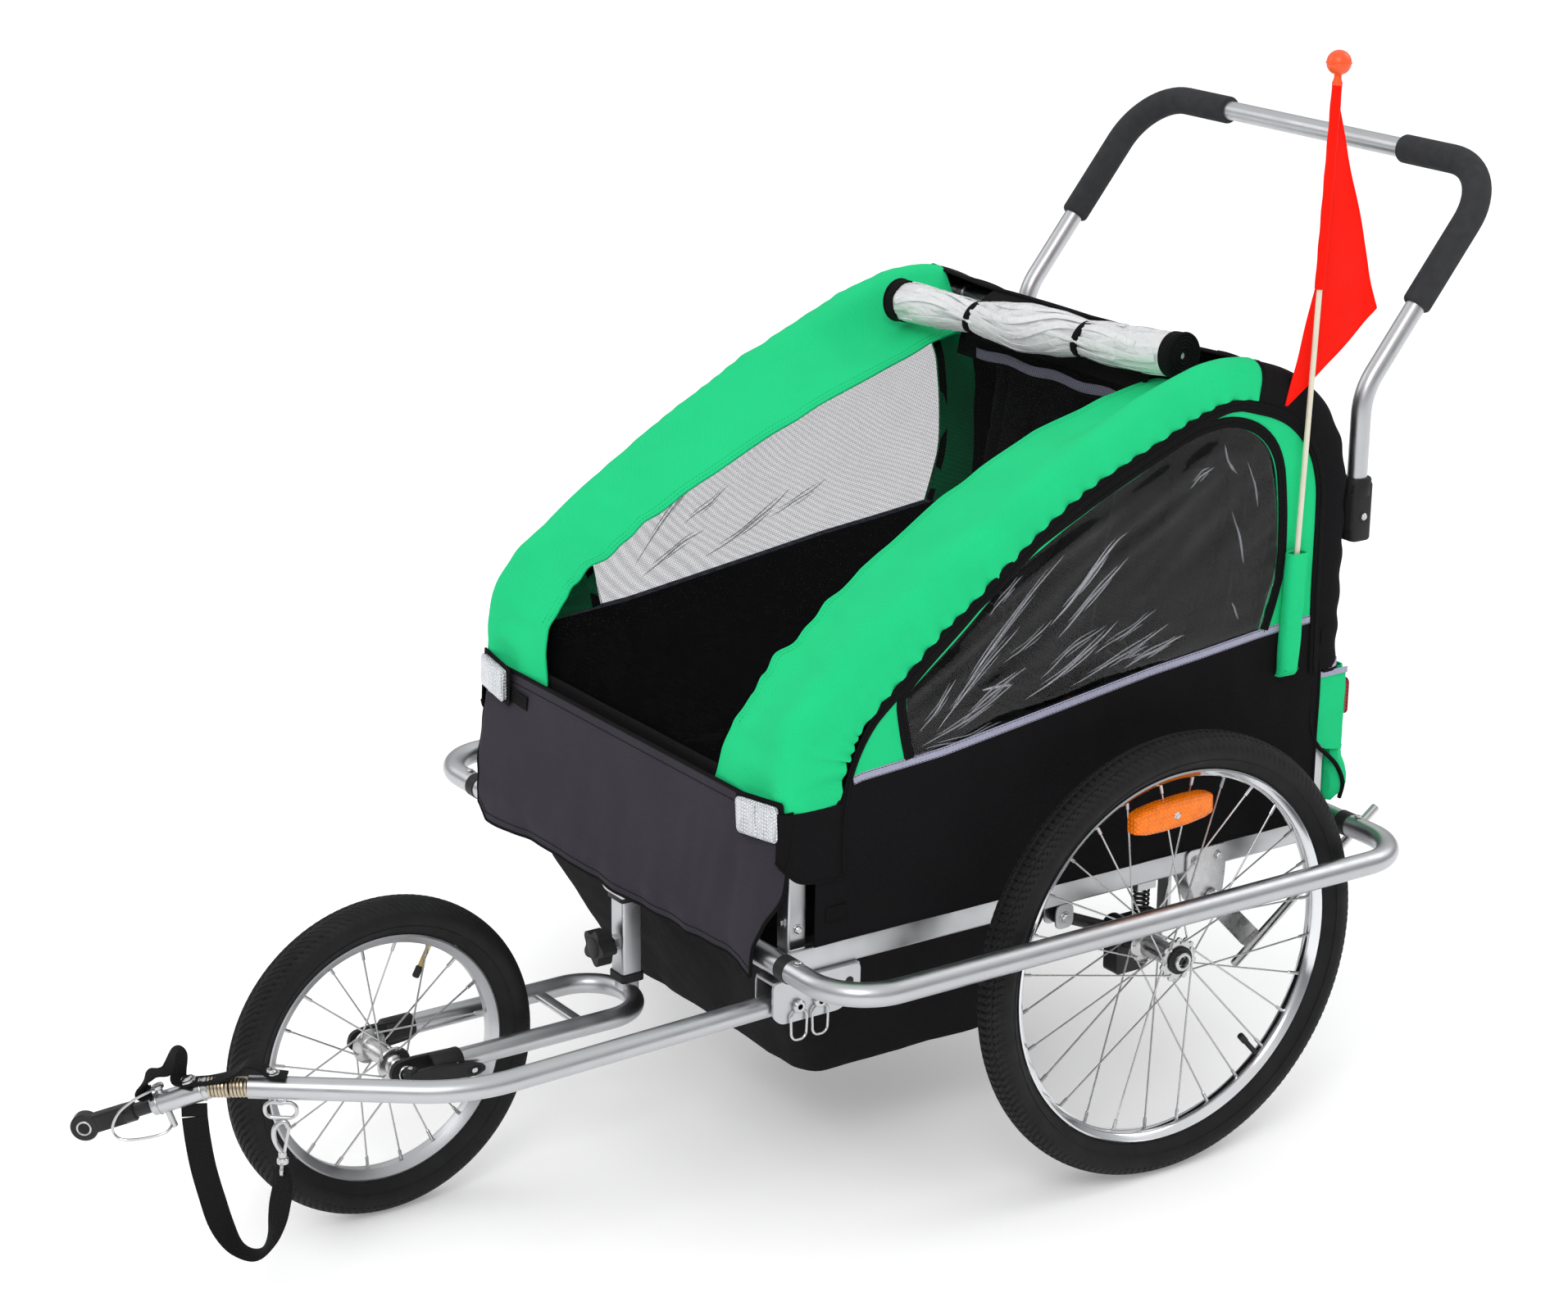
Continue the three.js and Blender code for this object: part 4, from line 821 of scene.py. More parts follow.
def make_frame_tubes():
    rail = sweep([(RAIL_X, -436, 309), (RAIL_X, 291, 309)], rounded(20, 28, 3), facing=(1, 0, 0))
    lugs = total(plate(rounded_outline([(-92, 296), (-92, 268), (-68, 268), (-68, 296)], 9), x, x + 2.5)
                 for x in (272.0, 291.5))
    cap = block((274.5, 21, 287), (292.5, 47, 296))
    guide = block((274.5, 64, 240), (292.5, 69, 296))
    for side in ALL_SIDES:
        shape = (rail + lugs + cap + guide).on(side)
        piece(side + "_rail", shape, "frame", ALUMINIUM, [side + "_side_rail"], bevel=0.5)
        sign = 1 if side == "left" else -1
        pivot = Vector((sign * 294, SWING_PIVOT.y, SWING_PIVOT.z))
        heads = bolt(pivot, (sign, 0, 0)) + bolt(Vector((sign * 272, pivot.y, pivot.z)), (-sign, 0, 0))
        piece(side + "_pivot_bolt", heads, "frame", STEEL)
    bracket = [(-458, 295), (-458, 258), (-448, 248), (-374, 248), (-350, 268), (-350, 295)]
    cheeks = total(plate(rounded_outline(bracket, 7), x, x + 3) for x in (266.5, 296.5))
    web = block((267, -457, 291.5), (299, -351, 295.3))
    piece("tow_bracket", cheeks + web, "frame", ALUMINIUM, bevel=0.5)
    hole = total(bar((x, -364, 277), (x + 0.5, -364, 277), 5, 28) for x in (266.2, 299.3))
    piece("tow_bracket_hole", hole, "frame", BORE)
    for name, y in (("front", FRONT_TUBE_Y), ("rear", REAR_TUBE_Y)):
        tube_shape = tube([(-FRAME_HALF, y, FRAME_Z), (FRAME_HALF, y, FRAME_Z)], TUBE_R, 32)
        piece(name + "_tube", tube_shape, "frame", ALUMINIUM, [name + "_cross_tube"])
    outer = 415.0
    for side in ALL_SIDES:
        corners = [(FRAME_HALF - 1, FRONT_TUBE_Y, FRAME_Z), (outer, FRONT_TUBE_Y, FRAME_Z),
                   (outer, REAR_TUBE_Y, FRAME_Z), (FRAME_HALF - 1, REAR_TUBE_Y, FRAME_Z)]
        bumper = tube(bent(corners, 62, 6), TUBE_R, 28)
        piece(side + "_bumper_tube", bumper.on(side), "frame", ALUMINIUM, [side + "_bumper"])
        collars = total(bar((304, y, FRAME_Z), (320, y, FRAME_Z), TUBE_R + 0.9, 32, 0.6)
                for y in (FRONT_TUBE_Y, REAR_TUBE_Y))
        piece(side + "_bumper_collars", collars.on(side), "frame", BLACK_PLASTIC)
        tops = total(bolt((330, y, FRAME_Z + TUBE_R - 1), (0, 0, 1), 4.2, 2.4, nut=False)
                for y in (FRONT_TUBE_Y, REAR_TUBE_Y))
        piece(side + "_bumper_screws", tops.on(side), "frame", STEEL)


def make_fork_receiver():
    y, half = -445, 12.5
    shell = sweep([(0, y, 192), (0, y, 302)], rounded(2 * half, 2 * half, 3), facing=(1, 0, 0))
    nut = bar((0, y - half - 6, 235), (0, y - half + 1, 235), 9, 6, 0.8)
    piece("fork_receiver", shell + nut, "frame", ALUMINIUM, bevel=0.3)
    saddle = [(-27, 318), (-27, 300), (-19, 290), (19, 290), (27, 300), (27, 318)]
    cast = plate(rounded_outline([(x, z) for x, z in saddle], 6), y - 17, y + 15)
    cast = Shape([Vector((p.y, p.x, p.z)) for p in cast.points], [f[::-1] for f in cast.faces])
    piece("receiver_saddle", cast, "frame", ALUMINIUM, bevel=1.5)
    gasket = sweep([(0, y, 284), (0, y, 291)], rounded(31, 31, 4), facing=(1, 0, 0))
    foot = sweep([(0, y, 190), (0, y, 200)], rounded(28.5, 28.5, 4), facing=(1, 0, 0))
    piece("receiver_gaskets", gasket + foot, "frame", BLACK_PLASTIC, bevel=0.8)


make_frame_tubes()
make_fork_receiver()
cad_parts["roof_cross_tube"].data.materials.clear()
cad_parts["roof_cross_tube"].data.materials.append(ALUMINIUM)


# ---------------------------------------------------------------- wheels
def tread_tyre(radius, seat, half, segments, tread, depth):
    """A tyre whose grooves are cut into its surface. tread(along, across) is 1 on rubber, 0 in a groove."""
    side = (radius + seat) / 2
    crown = half - 6
    inner = [(seat, -10), (seat, 10), (seat + 4, 13.5), (seat + 6, 15)]
    flank = [(side - 6, half - 1.4), (side, half), (side + 6, half - 1.0), (radius - 8, half - 4)]
    cap = [(radius - 6.5 * (abs(x) / crown) ** 2.4, x) for x in np.linspace(crown, -crown, 25)]
    profile = inner + flank + cap + [(r, -x) for r, x in reversed(flank)] + [(r, -x) for r,
            x in reversed(inner[2:])]
    shape = lathe(profile, segments)
    first, last = len(inner) + 2, len(inner) + len(flank) + len(cap) + 2
    size = len(profile)
    for i, point in enumerate(shape.points):
        k = i % size
        if first <= k < last:
            along = i // size / segments * 2 * math.pi * radius
            cut = depth * (1 - tread(along, point.x))
            reach = math.hypot(point.y, point.z)
            shrink = (reach - cut) / reach
            point.y *= shrink
            point.z *= shrink
    return shape


def block_tread(along, across):
    """Small staggered blocks with two grooves round the tyre."""
    band = abs(across)
    if abs(band - 4) < 0.7 or abs(band - 11) < 0.8:
        return 0.0
    row = int(band > 4) + int(band > 11)
    slant = 0.9 * across if row else 0.0
    return 0.0 if (along + slant + 4.2 * row) % 9.0 < 2.1 else 1.0


def feather_tread(along, across):
    """Diagonal feathered grooves that meet at the middle rib."""
    if abs(across) < 1.6:
        return 1.0
    slant = 1.35 * abs(across)
    return 0.0 if (along + slant + (4 if across > 0 else 0)) % 8.6 < 2.3 else 1.0


def sidewall_rings(radius, half):
    at = lambda r, x: [Vector((x, r * math.cos(a), r * math.sin(a))) for a in circle_angles(96)]
    rings = [(radius - 26, half - 2.0), (radius - 12, half - 2.4)]
    return total(tube(at(r, s * x), 0.7, 6, True) for r, x in rings for s in (-1, 1))


def rim_shape(outer, bore, half, sides=120):
    profile = [(bore, -5), (bore - 0.6, 0), (bore, 5), (bore + 3, half - 4), (bore + 7, half - 1),
            (outer - 2, half),
               (outer, half - 0.8), (outer + 0.6, half - 2.2), (outer - 4, half - 3.2),
               (outer - 4, -half + 3.2),
               (outer + 0.6, -half + 2.2), (outer, -half + 0.8), (outer - 2, -half), (bore + 7, -half + 1),
               (bore + 3, -half + 4)]
    return lathe(profile, sides)


def spoke_set(count, flanges, flange_radius, lean, reach):
    """Laced spokes with their nipples, and a head on the flange for each."""
    wires, nipples = [], []
    for i in range(count):
        angle = (i + 0.5) * 2 * math.pi / count
        flange = flanges[i % 2]
        lace = 1 if i % 4 < 2 else -1
        root = flange_radius - 3.2
        spread = angle + lean * lace
        start = Vector((flange + 2.2 * lace, root * math.cos(spread), root * math.sin(spread)))
        end = Vector((0, (reach + 1) * math.cos(angle), (reach + 1) * math.sin(angle)))
        along = (end - start).normalized()
        wires.append(bar(start, end, 1.0, 8))
        wires.append(bar(start - Vector((3.4 * lace, 0, 0)), start + Vector((0.9 * lace, 0, 0)), 1.7, 8))
        nipples.append(sweep([end - along * 13, end - along * 12, end - along * 3, end], ring(1.9, 8),
                grow=[0.6, 1, 1, 1.15]))
    return total(wires), total(nipples)


def hub_shape(flanges, flange_radius, barrel, ends, end_radius, bore):
    inner, outer = flanges
    profile = [
        (bore, ends[0]), (end_radius - 1, ends[0]), (end_radius, ends[0] + 1), (end_radius, inner - 4),
                (end_radius + 2, inner - 2),
        (flange_radius - 1, inner - 1.6), (flange_radius, inner - 0.8), (flange_radius, inner + 0.8),
        (flange_radius - 1, inner + 1.6),
        (barrel + 4, inner + 2.4), (barrel + 1, inner + 5), (barrel, inner + 9), (barrel, outer - 9),
        (barrel + 1, outer - 5),
        (barrel + 4, outer - 2.4), (flange_radius - 1, outer - 1.6), (flange_radius, outer - 0.8),
        (flange_radius, outer + 0.8),
        (flange_radius - 1, outer + 1.6), (end_radius + 2, outer + 2), (end_radius, outer + 4),
        (end_radius, ends[1] - 1),
        (end_radius - 1, ends[1]), (bore, ends[1]),
    ]
    return lathe(profile, 40)


def valve(bore, angle, brass):
    """A stem that stands from the rim towards the hub, with its cap."""
    out = Vector((0, math.cos(angle), math.sin(angle)))
    stem = bar(out * (bore + 1), out * (bore - 26), 3.0 if not brass else 2.6, 16, 0.6)
    cap = bar(out * (bore - 24), out * (bore - 37), 3.9, 16, 1.2)
    return stem, cap


def make_wheel(prefix, body, centre, sign, kind):
    at = lambda shape: (shape if sign > 0 else shape.mirrored()).moved(centre)
    piece(prefix + "_tyre_tread", at(kind["tyre"]), body, RUBBER, [prefix + "_tyre"])
    piece(prefix + "_sidewall_rings", at(sidewall_rings(kind["radius"], 23)), body, RUBBER)
    piece(prefix + "_rim_ring", at(kind["rim"]), body, kind["rim_look"],
            [prefix + "_rim"])
    wires, nipples = kind["spokes"]
    piece(prefix + "_hub_shell", at(kind["hub"]), body, STEEL, [prefix + "_hub_and_spokes"])
    piece(prefix + "_spokes", at(wires), body, STEEL)
    piece(prefix + "_nipples", at(nipples), body, STEEL)
    stem, cap = kind["valve"]
    piece(prefix + "_valve_stem", at(stem), body, kind["stem_look"])
    piece(prefix + "_valve_cap", at(cap), body, BLACK_PLASTIC)


def spoke_reflector():
    """A long bevelled lens with a backing plate, turned a little forward of the wheel's top."""
    corners = [(y * a, z * b) for y, z in ((53, 10), (41, 13.5), (18, 15.5)) for a in (1, -1)
            for b in (1, -1)]
    outline = sorted(corners, key=lambda p: math.atan2(p[1], p[0]))
    centre = Vector((0, -8, 163))
    turn = math.radians(3)
    place = lambda y, z: (centre.y + y * math.cos(turn) - z * math.sin(turn), centre.z + y * math.sin(turn)
            + z * math.cos(turn))
    shell = [(-5, 1.0), (7, 1.0), (10.5, 0.93), (13.4, 0.72)]
    points = [Vector((x, *place(y * (1 - (1 - k) * 0.55), z * k))) for x, k in shell for y, z in outline]
    size = len(outline)
    faces = [(a * size + k, a * size + (k + 1) % size, (a + 1) * size + (k + 1) % size, (a + 1) * size + k)
             for a in range(len(shell) - 1) for k in range(size)]
    faces += [tuple(range(size))[::-1], tuple(range((len(shell) - 1) * size, len(shell) * size))]
    return Shape(points, faces)


def make_wheels():
    rear = {
        "radius": 247.5, "tyre": tread_tyre(247.5, 209.8, 23, 692, block_tread, 2.3),
        "rim": rim_shape(209, 199, 12.5), "rim_slot": "chrome", "rim_look": CHROME,
        "stem_look": BLACK_PLASTIC,
        "spokes": spoke_set(28, (-36, 16), 22, 1.1, 198.6),
        "hub": hub_shape((-36, 16), 22, 12, (-44, 25), 10, 6.7),
        "valve": valve(199, math.radians(-48), False),
    }
    for side, sign in (("left", 1), ("right", -1)):
        centre = (sign * REAR_HUB.x, 0, REAR_HUB.z)
        body = side + "_wheel"
        make_wheel(side, body, centre, sign, rear)
        shape = spoke_reflector()
        at = lambda s: (s if sign > 0 else s.mirrored()).moved(centre)
        piece(side + "_spoke_reflector", at(shape), body, ORANGE, bevel=1.0)
        screw = bar((12, -8, 163), (14.6, -8, 163), 4.2, 20, 1.0) + bar((14.2, -8, 163), (15.4, -8, 163),
                2.2, 6)
        piece(side + "_reflector_screw", at(screw), body, STEEL)
        button = lathe([(0.01, 16), (4.6, 16), (4.6, 24.6), (3.9, 25.4), (2.7, 25.4), (2.3, 23.6),
                (0.01, 23.4)], 28)
        piece(side + "_button_cap", at(button), side + "_axle_button", BLACK_PAINT,
                [side + "_axle_button"])
        cap = lathe([(6.9, 20), (10.6, 20), (10.9, 21), (10.2, 25.2), (9.0, 26.2), (6.9, 25.8)], 36)
        piece(side + "_hub_cap", at(cap), body, STEEL)
        seal = lathe([(10.9, 18.4), (15.4, 18.4), (15.4, 20.6), (14.4, 21.4), (10.9, 21.2)], 36)
        piece(side + "_hub_seal", at(seal), body, BLACK_PLASTIC)
        lobes = total(bar((14.6, 21.4 * math.cos(a), 21.4 * math.sin(a)),
                (17.4, 21.4 * math.cos(a), 21.4 * math.sin(a)), 3.6, 12, 0.4)
                      for a in [2 * math.pi * (i + 0.5) / 14 for i in range(14)])
        piece(side + "_hub_lobes", at(lobes), body, STEEL)
    front = {
        "radius": 174, "tyre": tread_tyre(174, 136.3, 23, 508, feather_tread, 2.2),
        "rim": rim_shape(135.5, 125, 11.5), "rim_slot": "aluminium", "rim_look": ALUMINIUM,
        "stem_look": BRASS,
        "spokes": spoke_set(20, (-27, 27), 19, 0.9, 124.6),
        "hub": hub_shape((-27, 27), 19, 10, (-36, 36), 9, 5.7),
        "valve": valve(125, math.radians(62), True),
    }
    make_wheel("front", "front_wheel", FRONT_HUB, 1, front)


make_wheels()


# ---------------------------------------------------------------- suspension
def make_suspension():
    axle = REAR_HUB.z
    for side, sign in (("left", 1), ("right", -1)):
        body = side + "_swing_arm"
        eye = bar((276.5, -80, 280), (289.5, -80, 280), 9, 32, 0.8)
        arm = tube([(283.5, -80, 280), (283.5, -4, 247)], 6.8, 20)
        outline = [(-8, 222), (57, 222), (57, 258), (26, 258), (-8, 258)]
        seat = plate(rounded_outline(outline, 5), 275, 292)
        boss = bar((275, 0, axle), (316, 0, axle), 15, 36, 1.2)
        web = plate(rounded_outline([(-20, 205), (20, 205), (20, 240), (-20, 240)], 6), 288, 310)
        spindle = bar((300, 0, axle), (394, 0, axle), 6, 24, 0.8)
        shape = (eye + arm + seat + boss + web).on(side)
        piece(body + "_casting", shape, body, BLACK_PAINT, [body], bevel=0.8)
        piece(side + "_axle", spindle.on(side), body, STEEL)
        ends = [Vector((283.5, 34, z)) for z in (286.6, 258.4)]
        spring = coil(ends, 8.0, 1.5, 5.5, 8, 20)
        made = piece(side + "_spring_coil", spring.on(side), None, BLACK_PAINT,
                [side + "_suspension_spring"])
        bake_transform(made)


make_suspension()


# ---------------------------------------------------------------- front fork
def make_fork():
    half, z, front, rear = 51.5, 174.0, -716.0, -681.0
    legs = bent([(half, front + 4, z), (half, -445, z), (-half, -445, z), (-half, front + 4, z)],
            half - 0.2, 6)
    tubes = tube(legs, 11, 28)
    post = sweep([(0, -445, z), (0, -445, 292)], rounded(20, 20, 2.5), facing=(1, 0, 0))
    brace = sweep([(-half + 5, -529, z), (half - 5, -529, z)], rounded(6, 14, 2.5), facing=(0, 0, 1))
    piece("fork_tubes", tubes + post + brace, "front_fork", ALUMINIUM, ["front_fork"],
            bevel=0.3)
    y, r = FRONT_HUB.y, FRONT_HUB.z
    outline = [(rear - 4, z - 13), (rear - 4, z + 11), (y + 8, r + 13), (y - 12, r + 10), (y - 16, r - 6),
            (y - 4, r - 13), (front, z - 15)]
    cheek = plate(rounded_outline(outline, 8), half - 8.5, half - 1.5)
    socket = sweep([(half, front, z), (half, front + 2, z), (half, rear - 2, z), (half, rear, z)],
            ring(13.5, 32), grow=[0.9, 1, 1, 0.93])
    rivet = lambda py, pz: bar((half + 8, py, pz), (half + 14.6, py, pz), 3.2, 16, 1.2)
    for side in ALL_SIDES:
        piece(side + "_dropout", (cheek + socket).on(side), "front_fork", BLACK_PLASTIC,
                bevel=0.8)
        rivets = rivet(front + 9, z) + rivet(rear - 9, z)
        piece(side + "_rivets", rivets.on(side), "front_fork", STEEL)
        nut = bar((half - 1.5, y, r), (half + 3.3, y, r), 8.5, 6 if side == "right" else 28, 0.8)
        piece(side + "_axle_nut", nut.on(side), "front_fork", STEEL)
    axle = bar((-55, y, r), (55, y, r), 5, 24, 0.8)
    piece("front_axle", axle, "front_fork", STEEL)


def make_release_lever():
    x, y, z = 63.0, FRONT_HUB.y, FRONT_HUB.z
    cam = bar((x, y, z - 9), (x, y, z + 9), 7.5, 32, 1.2)
    outline = [(y - 5, z - 7), (y + 20, z - 9), (y + 44, z - 11), (y + 72, z - 14), (y + 83, z - 10),
            (y + 83, z - 4),
               (y + 70, z + 1), (y + 44, z + 5), (y + 20, z + 8), (y - 5, z + 7)]
    blade = plate(rounded_outline(outline, 6), x + 3.3, x + 8.7)
    rim = [Vector((x + 9.0, y + 70 + 7.5 * math.cos(a), z - 7 + 3.4 * math.sin(a)))
            for a in circle_angles(24)]
    piece("lever_blade", cam + blade + tube(rim, 1.0, 8, True), "release_lever",
            BLACK_PLASTIC,
          ["release_lever"], bevel=1.3)
    slot = bar((x + 8.6, y + 70, z - 7), (x + 9.1, y + 70, z - 7), 3.2, 20)
    piece("lever_pin", bar((x, y, z - 10.4), (x, y, z + 10.4), 3.0, 20, 0.8) + slot, "release_lever",
            STEEL)


def make_clamp_knob():
    face = -457.5
    outline = []
    for a in circle_angles(60):
        radius = 18 + 3.3 * math.cos(5 * a)
        outline.append((radius * math.cos(a), 235 + radius * math.sin(a)))
    head = plate(outline, face - 30, face - 12)
    head = Shape([Vector((p.y, p.x, p.z)) for p in head.points], [f[::-1] for f in head.faces])
    dome = sweep([(0, face - 28, 235), (0, face - 31, 235), (0, face - 32, 235)], ring(12, 32),
            grow=[1, 0.9, 0.5])
    neck = bar((0, face - 13, 235), (0, face - 7, 235), 9, 28, 0.5)
    piece("knob_grip", head + dome + neck, "clamp_knob", BLACK_PLASTIC, ["clamp_knob"],
            bevel=2.2)
    piece("knob_screw", bar((0, face - 10, 235), (0, face + 1.8, 235), 4, 20), "clamp_knob", STEEL)


make_fork()
make_release_lever()
make_clamp_knob()


# ---------------------------------------------------------------- push handle
HANDLE_Y = 305.0


def make_handle():
    legs = [(FRAME_HALF, HANDLE_Y, 645), (FRAME_HALF, HANDLE_Y, 803), (FRAME_HALF, 487, 1028)]
    corners = legs + [(-x, y, z) for x, y, z in reversed(legs)]
    piece("handle_tube", tube(bent(corners, 70, 6), 11, 28), "handlebar", ALUMINIUM,
            ["handlebar"])
    for side in ALL_SIDES:
        low, corner, end = Vector((FRAME_HALF, 375, 890)), Vector((FRAME_HALF, 487, 1028)), Vector((147,
                487, 1028))
        path = bent([low, corner, end], 70, 6)
        along = [path[0], path[0].lerp(path[1], 0.015), path[0].lerp(path[1], 0.04), *path[1:-1],
                 path[-2].lerp(path[-1], 0.97), path[-2].lerp(path[-1], 0.99), path[-1]]
        grow = [0.84, 0.95, 1.0, *[1.0] * (len(path) - 2), 1.0, 0.95, 0.84]
        foam = sweep(along, ring(16, 32), grow=grow)
        piece(side + "_foam_grip", foam.on(side), "handlebar", FOAM, [side + "_grip"])
        shell = sweep([(FRAME_HALF, HANDLE_Y + 0.5, z) for z in (640, 643, 702, 705)], rounded(28, 28, 7),
                facing=(1, 0, 0),
                      grow=[0.93, 1, 1, 0.93])
        collar = sweep([(FRAME_HALF, HANDLE_Y + 0.5, z) for z in (690, 692, 708, 710)], ring(15.2, 32),
                grow=[1, 1.02, 1.02, 0.93])
        tongue = block((FRAME_HALF - 10, 290.5, 652), (FRAME_HALF + 10, 296, 696))
        piece(side + "_bracket_shell", (shell + collar + tongue).on(side), "frame",
                BLACK_PLASTIC,
              [side + "_handle_bracket"], bevel=0.8)
        bezel = bar((306.5, HANDLE_Y, 668), (308.2, HANDLE_Y, 668), 6.6, 28, 0.5)
        piece(side + "_button_bezel", bezel.on(side), "frame", BLACK_PLASTIC)
        button = bar((299.5, HANDLE_Y, 668), (310, HANDLE_Y, 668), 4, 24, 1.2)
        piece(side + "_lock_button", button.on(side), side + "_handle_lock_button", STEEL,
              [side + "_handle_lock_button"])


make_handle()


# ---------------------------------------------------------------- parking brake
def make_brake():
    outline = [(86, 321), (86, 290), (106, 250), (138, 250), (142, 290), (142, 321)]
    cheeks = plate(rounded_outline(outline, 7), 293.8, 296.5) + plate(rounded_outline(outline, 7), 270.5,
            273.2)
    pin = bar((268, 122, 262), (306, 122, 262), 4, 24, 0.8)
    piece("brake_cheeks", cheeks + pin, "frame", STEEL, ["brake_bracket"], bevel=0.5)
    heads = bolt((296.5, 98, 308), (1, 0, 0), 4.4, 2.6) + bolt((296.5, 130, 308), (1, 0, 0), 4.4, 2.6)
    piece("brake_bolts", heads, "frame", STEEL)
    arm = [(112, 254), (122, 273), (133, 266), (196, 203), (186, 190), (172, 192)]
    lever = plate(rounded_outline(arm, 5), 297, 300) + bar((297, 122, 262), (304, 122, 262), 9, 32, 0.8)
    rod = bar((302, 156, 174), (302, 358, 320), 5, 24, 1.2)
    piece("brake_lever", lever + rod, "brake_pedal", STEEL, ["brake_pedal"], bevel=0.4)


make_brake()


# ---------------------------------------------------------------- the body's side profile
# The crest of the arch in the side view. Some points are a program's output.
CREST_POINTS = [
    (-447, 474), (-441, 540), (-412, 588), (-370, 619), (-309, 663), (-181, 738), (-94, 783), (-10, 819),
            (60, 846),
    (115, 857), (165, 853), (225, 826), (268, 780), (288, 725), (291, 655), (291, 575), (291, 500),
]


def centripetal(points, per=30):
    """The same curve as the part's crest: a centripetal Catmull-Rom spline, as an array of points."""
    points = np.array(points, float)
    ends = np.vstack([2 * points[0] - points[1], points, 2 * points[-1] - points[-2]])
    path = []
    for a, b, c, d in zip(ends, ends[1:], ends[2:], ends[3:]):
        before, here, after = (math.sqrt(np.linalg.norm(q - p)) for p, q in ((a, b), (b, c), (c, d)))
        leave = ((b - a) / before - (c - a) / (before + here) + (c - b) / here) * here
        arrive = ((c - b) / here - (d - b) / (here + after) + (d - c) / after) * here
        for i in range(per):
            t = i / per
            path.append((2 * t**3 - 3 * t**2 + 1) * b + (t**3 - 2 * t**2 + t) * leave
                        + (3 * t**2 - 2 * t**3) * c + (t**3 - t**2) * arrive)
    return np.vstack([path, points[-1]])


CREST = centripetal(CREST_POINTS)
CREST_LENGTHS = np.concatenate([[0], np.cumsum(np.linalg.norm(np.diff(CREST, axis=0), axis=1))])
CREST_LENGTH = CREST_LENGTHS[-1]
SEAM_Y = 158.0  # where the green covers meet the black roof


def crest(u):
    return np.array([np.interp(u * CREST_LENGTH, CREST_LENGTHS, CREST[:, k]) for k in (0, 1)])


def under(u, x, depth):
    """A point below the crest: depth is measured square to it."""
    along = crest(min(u + 0.004, 1)) - crest(max(u - 0.004, 0))
    along /= np.linalg.norm(along)
    y, z = crest(u)
    return Vector((x, y + along[1] * depth, z - along[0] * depth))


def share_at(y):
    return float(np.interp(y, CREST[: len(CREST) * 2 // 3, 0],
            CREST_LENGTHS[: len(CREST) * 2 // 3] / CREST_LENGTH))


SEAM_U = share_at(SEAM_Y)
BINDING_WIDTH = 12.5
# The covers' outer hem in the side view, and their inner hem as share of the crest, x, depth. Both follow
# a program's output, and the inner hem was smoothed.
OUTER_HEM = [
    (-384, 468), (-379, 492), (-369, 520), (-354, 549), (-333, 571), (-306, 591), (-258, 633), (-197, 675),
            (-129, 725),
    (-76, 755), (-29, 775), (39, 801), (77, 815), (110, 822), (150, 816),
]
INNER_HEM = np.array([
    (0, 170, 5), (0.05, 185, 13), (0.1, 187, 16), (0.2, 176, 19), (0.35, 158, 28), (0.47, 148, 36),
            (0.56, 156, 46), (0.65, 156, 48),
])


def lerp(a, b, t):
    return a + (b - a) * t


def side_depth(u):
    """How far the covers come down the sides, from the crest."""
    return lerp(lerp(65, 54, min(u / 0.15, 1)), 45, smooth(u, 0.35, SEAM_U))


def measured_hem():
    """The outer hem as share of the crest and depth below it."""
    rows = []
    for point in OUTER_HEM:
        gaps = np.linalg.norm(CREST - np.array(point), axis=1)
        k = int(np.argmin(gaps))
        rows.append((CREST_LENGTHS[k] / CREST_LENGTH, gaps[k]))
    return np.array(rows)


HEM_TABLE = measured_hem()


def edge_depth(u):
    """Depth of the green covers' outer hem."""
    return float(np.interp(u, HEM_TABLE[:, 0], HEM_TABLE[:, 1]))


def inner_hem(u):
    return [float(np.interp(u, INNER_HEM[:, 0], INNER_HEM[:, k])) for k in (1, 2)]


def rough(x, y, z, size, seed=0.0):
    """Smooth noise from -1 to 1 with features of about size millimetres."""
    return noise.noise(Vector((x / size + seed, y / size, z / size)))


def ripple(rows, push):
    """Moves each point of a grid along its normal by push(i, j, point)."""
    height, width = len(rows), len(rows[0])
    moved = []
    for i in range(height):
        row = []
        for j in range(width):
            down = rows[min(i + 1, height - 1)][j] - rows[max(i - 1, 0)][j]
            across = rows[i][min(j + 1, width - 1)] - rows[i][max(j - 1, 0)]
            normal = across.cross(down).normalized()
            row.append(rows[i][j] + normal * push(i, j, rows[i][j]))
        moved.append(row)
    return moved


def through(points, count):
    """count points evenly spaced along a smooth curve through points."""
    fine = smooth_path([Vector(p) if len(p) == 3 else Vector((p[0], p[1], 0)) for p in points], 10)
    reach = [0.0]
    for a, b in zip(fine, fine[1:]):
        reach.append(reach[-1] + (b - a).length)
    result = []
    for i in range(count):
        target = reach[-1] * i / (count - 1)
        k = min(np.searchsorted(reach, target), len(reach) - 1)
        k = max(k, 1)
        t = (target - reach[k - 1]) / max(reach[k] - reach[k - 1], 1e-9)
        result.append(fine[k - 1].lerp(fine[k], t))
    return result


def through_flat(points, count):
    return [(p.x, p.y) for p in through(points, count)]


def ruled(first, second, steps):
    """Rows that lead from one line of points to another."""
    return [[a.lerp(b, i / steps) for a, b in zip(first, second)] for i in range(steps + 1)]


def cloth_piece(name, rows, thickness, look, replaces=(), body="frame",
        flat=None, mirror=False):
    shape = grid(rows, thickness)
    made = piece(name, shape.mirrored() if mirror else shape, body, look, replaces)
    width = sum((b - a).length for a, b in zip(rows[0], rows[0][1:])) * METRES
    middle = len(rows[0]) // 2
    length = sum((b[middle] - a[middle]).length for a, b in zip(rows, rows[1:])) * METRES
    width, length = flat or (width, length)
    return made


